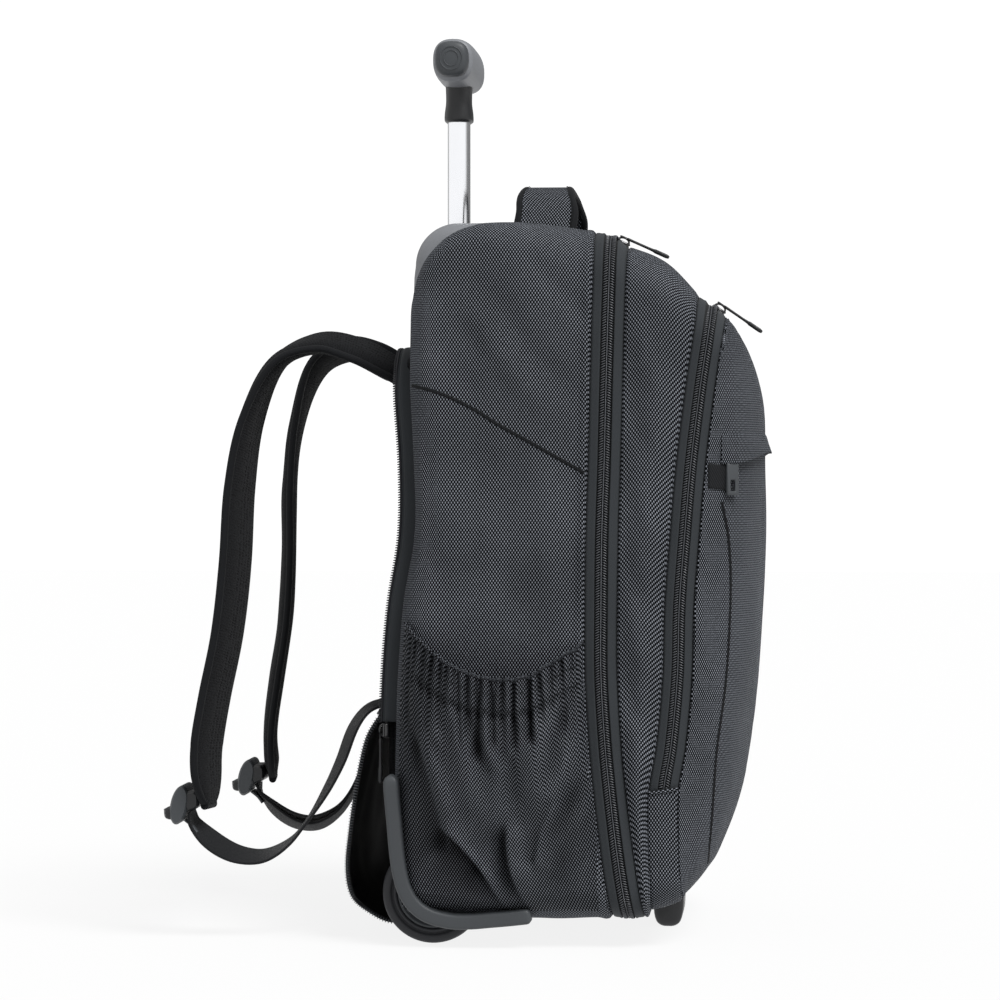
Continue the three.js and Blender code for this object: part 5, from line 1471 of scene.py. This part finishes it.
def backPanel(rows=110, columns=84):
    zs = np.linspace(panel["foot"], panel["top"], rows)[:, None]
    ys = np.linspace(-panel["half"], panel["half"], columns)[None, :]
    dy = panel["half"] - np.abs(ys)
    dz = np.minimum(zs - panel["foot"], panel["top"] - zs)
    corner = panel["round"]
    reach = corner - np.hypot(np.maximum(corner - dy, 0), np.maximum(corner - dz, 0))
    edge = np.clip(np.minimum(np.minimum(dy, dz), np.where((dy < corner) & (dz < corner), reach, 1e9)), 0, 50)
    bow = panel["thick"] * np.sqrt(np.clip(1 - (1 - np.clip(edge / 9, 0, 1)) ** 2, 0, 1))
    channel = np.exp(-((ys / 9) ** 2)) * soften((dz - 20) / 40) * 3.2
    for level in (150, 240, 330):
        channel = np.maximum(channel, np.exp(-(((zs - level) / 6) ** 2)) * soften((dy - 14) / 20) * 2.6)
    depth = 0.3 + np.maximum(bow - channel * (bow > 2), 0.4)
    pull = np.where((dy < corner) & (dz < corner), np.maximum(0, -reach), 0)
    y = ys - np.sign(ys) * pull * 0.75
    z = zs + np.sign(panel["foot"] + panel["top"] - 2 * zs) * pull * 0.75
    x = lineAt("back", zs) - depth
    return np.stack(np.broadcast_arrays(x, y, z), -1)


grid = backPanel()
piece = addGrid("backPanel", grid, (30, 0, 230))
addWall(piece, 0.3)
finishPiece(piece, "air_mesh", "back_pad", finish=airMesh)


# The stow zip's band: an upside-down U round the back panel, its teeth facing back
band = {"half": 113, "low": 152, "high": 412, "wide": 6, "round": 40}


def bandPath(half, low, high, corner, step=2.5):
    spots = [(-half, low)]
    spots += [(-half + corner - corner * math.cos(a), high - corner + corner * math.sin(a))
              for a in np.linspace(0, math.pi / 2, 14)]
    spots += [(half - corner + corner * math.sin(a), high - corner + corner * math.cos(a))
              for a in np.linspace(0, math.pi / 2, 14)]
    spots += [(half, low)]
    spots = spread(np.array(spots), step)
    way = unit(np.stack([np.gradient(spots[:, 1]), -np.gradient(spots[:, 0])], 1))
    if way[0].dot([-1, 0]) < 0:
        way = -way
    return spots, way


spots, way = bandPath(band["half"] + band["wide"] / 2, band["low"], band["high"] - band["wide"] / 2,
                      band["round"] - band["wide"] / 2)
rows = []
for deep, side in [(-5.6, 3.0), (-2, 3.0), (3, 3.0), (6.4, 2.9), (8.4, 2.6), (9.0, 1.8), (8.4, 1.0), (8.0, 0),
                   (8.4, -1.0), (9.0, -1.8), (8.4, -2.6), (6.4, -2.9), (3, -3.0), (-2, -3.0), (-5.6, -3.0)]:
    back = lineAt("back", spots[:, 1])
    rows.append(np.stack([back - deep, spots[:, 0] + way[:, 0] * side, spots[:, 1] + way[:, 1] * side], 1))
piece = addGrid("stowBand", np.array(rows), (0, 0, 250))
addWall(piece, 0.8)
finishPiece(piece, "zip_tape", "back_zip_gusset", finish=tapeCloth)
outward = np.stack([np.zeros(len(spots)), way[:, 0], way[:, 1]], 1)
edge = np.stack([lineAt("back", spots[:, 1]) - 9.4, spots[:, 0] + way[:, 0] * 1.2, spots[:, 1] + way[:, 1] * 1.2], 1)
strip = sweep("stowTape", edge, [(-2.6, -0.7), (2.6, -0.7), (2.6, 0.7), (-2.6, 0.7)], outward, tapeCloth)
rim = edge - [2.6, 0, 0]
core = sweep("stowCore", rim + [0.9, 0, 0], roundProfile(1.5, 2.6, 3), outward, openCoil)
turns = beadRow("stowTurns", [(rim, outward, False)], openCoil, pitch=coil["pitch"], length=1.2, width=3.6,
                height=2.6, lean=0.2, uneven=0.04)
finishPiece(joinPieces("stowTeeth", [strip, core, turns]), "zip_tape")
print("back panel made")


# The unzipped stow cover: it hangs as an open pouch at the foot of the back
cover = {"width": 236, "thick": 1.6, "top": 160, "reach": 37, "bind": 6, "cut": 0.0432}  # cut: square metres
coverTable = {
    "back": [-0.62, -0.28, 0.2, 0.68, 0.92, 1, 0.94, 0.85, 0.75, 0.62, 0.46, 0.4],
    "up": [0.123, 0.1, 0.078, 0.13, 0.2, 0.32, 0.48, 0.63, 0.76, 0.88, 0.95, 0.967],
    "grow": [0.86, 0.86, 0.86, 0.88, 0.97, 1, 1, 1, 1, 1, 0.97, 0.97],
}
spots = np.stack([lineAt("back", 80.0) - np.array(coverTable["back"]) * cover["reach"],
                  np.array(coverTable["up"]) * cover["top"], np.array(coverTable["grow"])], 1)
coverLine = curveThrough(spots, 2.5)


def coverGrid(columns=90):
    ys = np.linspace(-1, 1, columns)[None, :]
    x, z, _ = np.broadcast_arrays(coverLine[:, :1], coverLine[:, 1:2], ys)
    half = cover["width"] / 2 * coverLine[:, 2:3]
    edge = np.abs(ys) ** 6
    even = np.linspace(0, 1, len(coverLine))[:, None]
    sag = 2.0 * lumps(np.stack([x, ys * half, z], -1) * [1, 0.8, 1], 40, 31) * soften(even / 0.2) * (1 - edge)
    x = x - sag * soften(even / 0.4) + edge * 3 * soften(even / 0.3)
    z = z + sag * 0.3
    return np.stack([x, ys * half, z], -1)


coverCloth = coverGrid()
flap = addGrid("stowCover", coverCloth, (10, 0, 90), uvs=arcUvs(coverCloth))
addWall(flap, cover["thick"])
finishPiece(flap, "woven_cloth", "back_cover", finish=lining)
rim = coverCloth[-1]
edges = []
for path in (coverCloth[:, 0], coverCloth[:, -1]):
    ahead = unit(np.gradient(path, axis=0))
    normal = unit(np.cross(ahead, [0.0, 1.0, 0.0]))
    strip = sweep("coverEdge", path, roundProfile(cover["bind"], 2.6, 3), normal, bindingTape)
    edges.append(strip)
strip = sweep("coverEdge", rim, roundProfile(cover["bind"], 2.6, 3), [-1.0, 0.0, 0.4], tapeCloth)
edges.append(strip)
binding = finishPiece(joinPieces("coverBinding", edges), "zip_tape")
coverWays = []
for column, side in ((0, -1), (-1, 1)):
    path = coverCloth[:, column]
    ahead = unit(np.gradient(path, axis=0))
    skin = unit(np.cross(ahead, [0.0, 1.0, 0.0]))
    skin = skin * np.where(skin[:, :1] > 0, -1, 1)
    coverWays.append((path + skin * 0.4 + [0, side * 2.9, 0], [0.0, float(side), 0.0], False))
rimWay = np.array([-0.25, 0.0, 0.97])
coverWays.append((rim + rimWay * 2.8, rimWay, False))
teeth = beadRow("coverTeeth", coverWays, coilNylon, pitch=coil["pitch"] + 0.2, length=0.95, width=3.8, height=1.7,
                uneven=0.05)
finishPiece(teeth, "zip_tape")
print("cover made")


# The hood over the front pocket's zip: a turned-down flap that stands off the dome at its lower edge
hood = {"high": 354, "low": 328, "rise": 8, "stand": 4.6, "middle": 112, "span": 58.5}


def aroundDome(z, turn, lift=0.0):
    start = toFrame(np.array([hood["middle"], 0.0, z]))
    hit, normal, _, _ = domeTree.ray_cast(Vector(start), Vector((math.cos(turn), math.sin(turn), 0)))
    way = np.array(normal)
    if way[0] * math.cos(turn) + way[1] * math.sin(turn) < 0:
        way = -way
    return fromFrame(hit) + way * lift, way


def hoodPiece():
    count = 170
    turns = np.radians(hood["span"] * np.sin(np.linspace(-math.pi / 2, math.pi / 2, count)))
    spots, ways = np.zeros((22, count, 3)), np.zeros((22, count, 3))
    for j, turn in enumerate(turns):
        near = min(j, count - 1 - j) / (count - 1)
        rounding = soften((near - 0.02) / 0.16)
        low = hood["low"] + 2 + hood["rise"] * soften((near - 0.1) / 0.2)
        for i in range(22):
            t = min(i / 17, 1)
            z = hood["high"] + (low - hood["high"]) * t
            stand = hood["stand"] * t ** 1.2 * (0.3 + 0.7 * rounding)
            lift = -1.2 + 1.5 * soften(t / 0.25) + stand
            if i > 17:
                under = (i - 17) / 4
                z += 1.6 * math.sin(under * math.pi / 2)
                lift -= (stand + 0.2) * under ** 1.3
            spots[i, j], ways[i, j] = aroundDome(z, turn, lift if i else -0.6)
    piece = addGrid("pocketHood", spots, (120, 0, 340), uvs=frontUvs(spots))
    addWall(piece, 0.6)
    finishPiece(piece, "woven_cloth", "pocket_hood", finish=wovenCloth)
    first = 26
    top = spots[1, first:-first]
    out = ways[1, first:-first]
    finishPiece(sweep("hoodSeam", top + out * 0.3, roundProfile(0.8, 0.7, 2), out, threadNylon), "woven_cloth")


hoodPiece()


# The zip garage beside the hood: a patch of ribbed tape, and the pocket zip's pull
def ribbedPatch():
    points, ways = [], []
    for z in np.linspace(331.5, 314.5, 12):
        row = [(x, z - (x - 182) * 0.12) for x in np.linspace(189.5, 204, 12)]
        spots, way = onSide(domeTree, row, -1, 0.9)
        points.append(spots)
        ways.append(way)
    piece = addGrid("zipGarage", np.array(points), (120, 0, 320))
    addWall(piece, 1.0)
    finishPiece(piece, "webbing", finish=strapWeb)


ribbedPatch()

tab = {"wide": 9.5, "high": 22, "thick": 2.4, "slotWide": 3.8, "slotHigh": 7.5, "slotLow": -8.3, "turn": 0.62}


def framedTab(name, wide, high, thick, slot, bevel=0.9):
    # A flat tab with a hole in its lower part, standing in the x-z plane about its middle
    w, h = wide / 2, high / 2
    sw, s0, s1 = slot
    outer = [(-w, -h), (w, -h), (w, h), (-w, h)]
    inner = [(-sw / 2, s0), (sw / 2, s0), (sw / 2, s1), (-sw / 2, s1)]
    points, faces = [], []
    for y in (-thick / 2, thick / 2):
        points += [(x, y, z) for x, z in outer + inner]
    for k in range(4):
        n = (k + 1) % 4
        faces.append((k, n, 4 + n, 4 + k))
        faces.append((8 + k, 12 + k, 12 + n, 8 + n))
        faces.append((k, 8 + k, 8 + n, n))
        faces.append((4 + k, 4 + n, 12 + n, 12 + k))
    piece = addObject(name, np.array(points, float), faces)
    edge = piece.modifiers.new("edge", "BEVEL")
    edge.width = bevel / 1000
    edge.segments = 3
    edge.limit_method = "ANGLE"
    return settle(piece)


def placeMesh(piece, turn, place):
    # Turns a mesh about the origin of millimetre space and moves it there
    home = Vector((wheelLine, 0, 0))
    piece.data.transform(Matrix.Translation(-home))
    piece.data.transform(Matrix.Translation(home + Vector(place) / 1000) @ turn)
    piece.data.update()
    return piece


slot = (tab["slotWide"], tab["slotLow"], tab["slotLow"] + tab["slotHigh"])
piece = framedTab("pocketPull", tab["wide"], tab["high"], tab["thick"], slot)
placeMesh(piece, Matrix.Rotation(tab["turn"], 4, "Z"), middleOf("pocket_zip_pull"))
finishPiece(piece, "dark_plastic", "pocket_zip_pull", finish=greyPlastic)
print("hood and pull made")


# Zip sliders: a body with a rounded bridge, and a long thin pull with a moulded end
slider = {"long": 11, "wide": 9}


def sliderBody(name):
    turn = around(32)
    c, s = np.cos(turn), np.sin(turn)
    rows = []
    for z, grow in ((0, 0.86), (0.5, 0.97), (1.6, 1.0), (2.0, 0.9), (2.8, 0.9), (3.2, 1.0), (3.9, 0.97), (4.3, 0.84)):
        neck = 1 - 0.12 * np.cos(turn)
        rows.append(np.stack([slider["long"] / 2 * grow * squared(c, 0.5),
                              slider["wide"] / 2 * grow * neck * squared(s, 0.6),
                              np.full(32, z)], 1))
    body = addGrid(name, np.array(rows), closedColumns=True, ends=True)
    turn = np.linspace(0, math.pi, 16)
    way = np.stack([np.cos(turn), np.zeros(16), np.sin(turn)], 1)
    bridge = sweep("sliderBridge", [0, 0, 3.8] + way * [4.2, 0, 3.0], roundProfile(3.4, 1.3, 3), way, sliderZinc)
    return [coat(body, sliderZinc), bridge]


def pullBar(name, length):
    # A ring at the slider, a narrow stem and a thicker moulded end, along +X from the origin
    turn = around(24)
    ringPath = np.stack([2.6 + 2.6 * np.cos(turn), 2.1 * np.sin(turn), np.zeros(24)], 1)
    ring = sweep("pullRing", ringPath, roundProfile(1.4, 1.4, 2), [0.0, 0.0, 1.0], sliderZinc, True)
    rows, turn = [], around(20)
    for t, wide, thick in ((0, 1.4, 0.7), (0.04, 2.2, 1.0), (0.1, 2.3, 1.0), (0.16, 1.7, 0.95), (0.5, 1.8, 0.95),
                           (0.62, 2.1, 1.1), (0.68, 2.9, 1.5), (0.93, 2.9, 1.5), (0.98, 2.6, 1.2), (1, 1.8, 0.7)):
        x = 4.6 + (length - 4.6) * t
        y, z = wide * squared(np.cos(turn), 0.5), thick * squared(np.sin(turn), 0.5)
        rows.append(np.stack([np.full(20, x), y, z], 1))
    return [ring, coat(addGrid(name, np.array(rows), closedColumns=True, ends=True), darkPlastic)]


def crownZip(label, column, table, halfTape):
    backEdge, ridgeTop, frontEdge = (bagCrown - bagTall * h for h in table["highIn"])
    slope = math.atan2(backEdge - frontEdge, 2 * halfTape)
    x = float(lineAt(column, ridgeTop))
    turn = Matrix.Rotation(slope, 4, "Y")
    body = joinPieces(f"{label}Slider", sliderBody(f"{label}Slider"))
    placeMesh(body, turn, (x, 0, ridgeTop + 0.9))
    finishPiece(body, "zip_metal", f"{label}_zip_slider")
    pull = joinPieces(f"{label}Pull", pullBar(f"{label}Pull", 38))
    lift = turn @ Vector((-3.4, 0, 7.0))
    placeMesh(pull, turn, (x + lift.x, lift.y, ridgeTop + 0.9 + lift.z))
    finishPiece(pull, "dark_plastic", f"{label}_zip_pull")


crownZip("main", "zip", mainTape, bag["mainTape"])
crownZip("front", "second", frontTape, bag["frontTape"])

place = middleOf("back_zip_slider")
body = joinPieces("stowSlider", sliderBody("stowSlider"))
down = Matrix.Rotation(math.radians(-90), 4, "Y")
placeMesh(body, down, place + [1.6, 0, 0])
finishPiece(body, "zip_metal", "back_zip_slider")
pull = joinPieces("stowPull", pullBar("stowPull", 36))
placeMesh(pull, Matrix.Rotation(math.radians(90), 4, "Y"), place - [4.6, 0, 1])
finishPiece(pull, "dark_plastic", "back_zip_pull")
print("sliders made")


# The grab handle: a padded arch of the bag's cloth with bound edges
grab = {"place": 72, "span": 126, "rise": 33, "width": 44, "thick": 5.4, "bind": 6.0}


def grabHandle():
    t = np.linspace(-1, 1, 90)
    path = np.stack([np.full(90, float(grab["place"])), grab["span"] / 2 * t,
                     bagCrown - 1.5 + grab["rise"] * (1 - np.abs(t) ** 4)], 1)
    path = spread(path, 1.6)
    place = path[:, 1] / (grab["span"] / 2)
    bow = 0.5 * lumps(path, 16, 3)
    grow = 0.8 + 0.22 * soften((np.abs(place) - 0.35) / 0.6) + bow * 0.02
    ahead = unit(np.gradient(path, axis=0))
    out = unit(np.cross(ahead, [1.0, 0, 0]))
    out = out * np.where(out[len(out) // 2, 2] < 0, -1, 1)
    lean = 1.6 * np.exp(-((np.abs(place) - 0.86) / 0.1) ** 2)
    path[:, 0] += lean
    profile = roundProfile(grab["width"] - grab["bind"], grab["thick"], 5)
    body = sweep("grabBody", path, profile, out, wovenCloth, grow=grow)
    parts, lines = [body], []
    for edge in (-1, 1):
        rim = path.copy()
        rim[:, 0] += edge * (grab["width"] - grab["bind"]) / 2 * grow
        rim += out * (0.25 * lumps(path, 12, 4 + edge))[:, None]
        roll = sweep("grabBind", rim, roundProfile(grab["bind"], grab["thick"] + 1.0, 4), out, bindingTape)
        parts.append(roll)
        for face in (-1, 1):
            line = rim.copy()
            line[:, 0] -= edge * grab["bind"] * 0.28
            lines.append((line + out * face * (grab["thick"] / 2 + 0.3), out * face, False))
    piece = joinPieces("grabHandle", parts)
    finishPiece(piece, "woven_cloth", "grab_handle")
    stitches("grabStitches", lines, lift=0.25)


grabHandle()


# The trolley cap: a moulded shell over the top edge of the back, with a hole for the pole
cap = {"half": 72, "low": 452, "crown": 500, "front": 44, "bend": 30, "wall": 3.4, "side": 14, "fall": 15}


def trolleyCap():
    cornerX = float(lineAt("back", bagCrown)) - 6
    line = [(float(lineAt("back", cap["low"])) - 6, cap["low"]), (float(lineAt("back", 462)) - 6, 462)]
    for a in np.linspace(0, math.pi / 2, 22):
        line.append((cornerX + cap["bend"] - cap["bend"] * math.cos(a),
                     cap["crown"] - cap["bend"] + cap["bend"] * math.sin(a)))
    line += [(x, cap["crown"]) for x in np.linspace(cornerX + cap["bend"] + 3, cap["front"] - 10, 8)]
    line += [(cap["front"] - back, cap["crown"] - drop) for back, drop in ((5, 1.0), (1, 2.6), (0, 4.4))]
    line = spread(np.array(line), 1.6)
    way = unit(np.stack([-np.gradient(line[:, 1]), np.gradient(line[:, 0])], 1))
    rows = []
    bend = cap["side"] * (1 - np.cos(np.linspace(0, math.pi / 2, 10)))
    for y in np.concatenate([bend - cap["half"], np.linspace(-58, 58, 40), cap["half"] - bend[::-1]]):
        over = max(0.0, abs(y) - (cap["half"] - cap["side"])) / cap["side"]
        fall = cap["fall"] * rounded(over)
        rows.append(np.stack([line[:, 0] - way[:, 0] * fall, np.full(len(line), y), line[:, 1] - way[:, 1] * fall], 1))
    shell = addGrid("trolleyCap", np.array(rows), (40, 0, 430))
    addWall(shell, cap["wall"], 0.5)
    settle(shell)
    drill = ovalStack("capHole", [(470, 9.2, 13.2), (530, 9.2, 13.2)], power=0.75, centre=(handle["x"], 0))
    hole = shell.modifiers.new("hole", "BOOLEAN")
    hole.object = drill
    hole.operation = "DIFFERENCE"
    hole.solver = "EXACT"
    settle(shell)
    bpy.data.objects.remove(drill)
    finishPiece(shell, "grey_plastic", "trolley_cap", finish=paleGreyPlastic)


trolleyCap()
print("handle and cap made")


# Corner guards: rounded rails that wrap the lower back corners over the wheels
guard = {"wide": 15, "thick": 10.4, "stand": 5.5}


def cornerGuard(label, side):
    line = curveThrough([(-26.6, 118), (-25.4, 101), (-23.8, 84), (-22.3, 67), (-20.2, 52), (-16.4, 39), (-10, 29.2),
                         (-0.5, 22.4), (14.4, 18.6), (28, 18.4), (41.6, 19.6), (56, 21), (69.5, 22.6)], 1.5)
    y = -side * (guard["wide"] / 2 - bag["half"] - guard["stand"])
    length = np.arange(len(line)) * 1.5
    top = np.sqrt(np.clip(1 - (1 - np.clip(length / 6.5, 0, 1)) ** 2, 0.03, 1))
    blunt = np.sqrt(np.clip(1 - (1 - np.clip(length[::-1] / 2.4, 0, 1)) ** 2, 0.4, 1))
    grow = np.minimum(top, blunt)
    way = unit(np.stack([np.gradient(line[:, 1]), -np.gradient(line[:, 0])], 1))
    profile = roundProfile(guard["thick"], guard["wide"], 5, 0.24)
    rows = []
    for k in range(len(line)):
        across = profile[:, :1] * grow[k]
        rows.append(np.column_stack([line[k, 0] + way[k, 0] * across[:, 0], y + profile[:, 1] * (0.5 + 0.5 * grow[k]),
                                     line[k, 1] + way[k, 1] * across[:, 0]]))
    piece = addGrid(f"cornerGuard{label.title()}", np.array(rows), closedColumns=True, ends=True)
    finishPiece(piece, "grey_plastic", f"corner_guard_{label}", finish=greyPlastic)


for side, label in sides:
    cornerGuard(label, side)

# The front foot: a moulded skid with a rounded sole
footLow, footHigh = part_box("front_foot")
foot = {"back": fromFrame(footLow)[0], "front": fromFrame(footHigh)[0], "half": footHigh.y * 1000,
        "high": footHigh.z * 1000}
outline = [(foot["back"], foot["high"]), (foot["back"] + 0.4, 10), (foot["back"] + 2.4, 3.2), (foot["back"] + 6, 0.5),
           (foot["back"] + 10, 0), (foot["front"] - 7, 0.3), (foot["front"] - 3, 2.8), (foot["front"] - 0.8, 9),
           (foot["front"], 17), (foot["front"], foot["high"])]
piece = plateAcross("frontFoot", curveOutline(outline, 1.2), -foot["half"], foot["half"], steps=24, bend=5)
finishPiece(piece, "dark_plastic", "front_foot", finish=darkPlastic)

# The housings and axles stay as they are in the CAD, with their own finishes
for node, finish in (("wheel_housing_near", greyPlastic), ("wheel_housing_far", greyPlastic), ("axle_near", axleSteel),
                     ("axle_far", axleSteel)):
    coat(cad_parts[node], finish)
print("guards made")

print("finished")
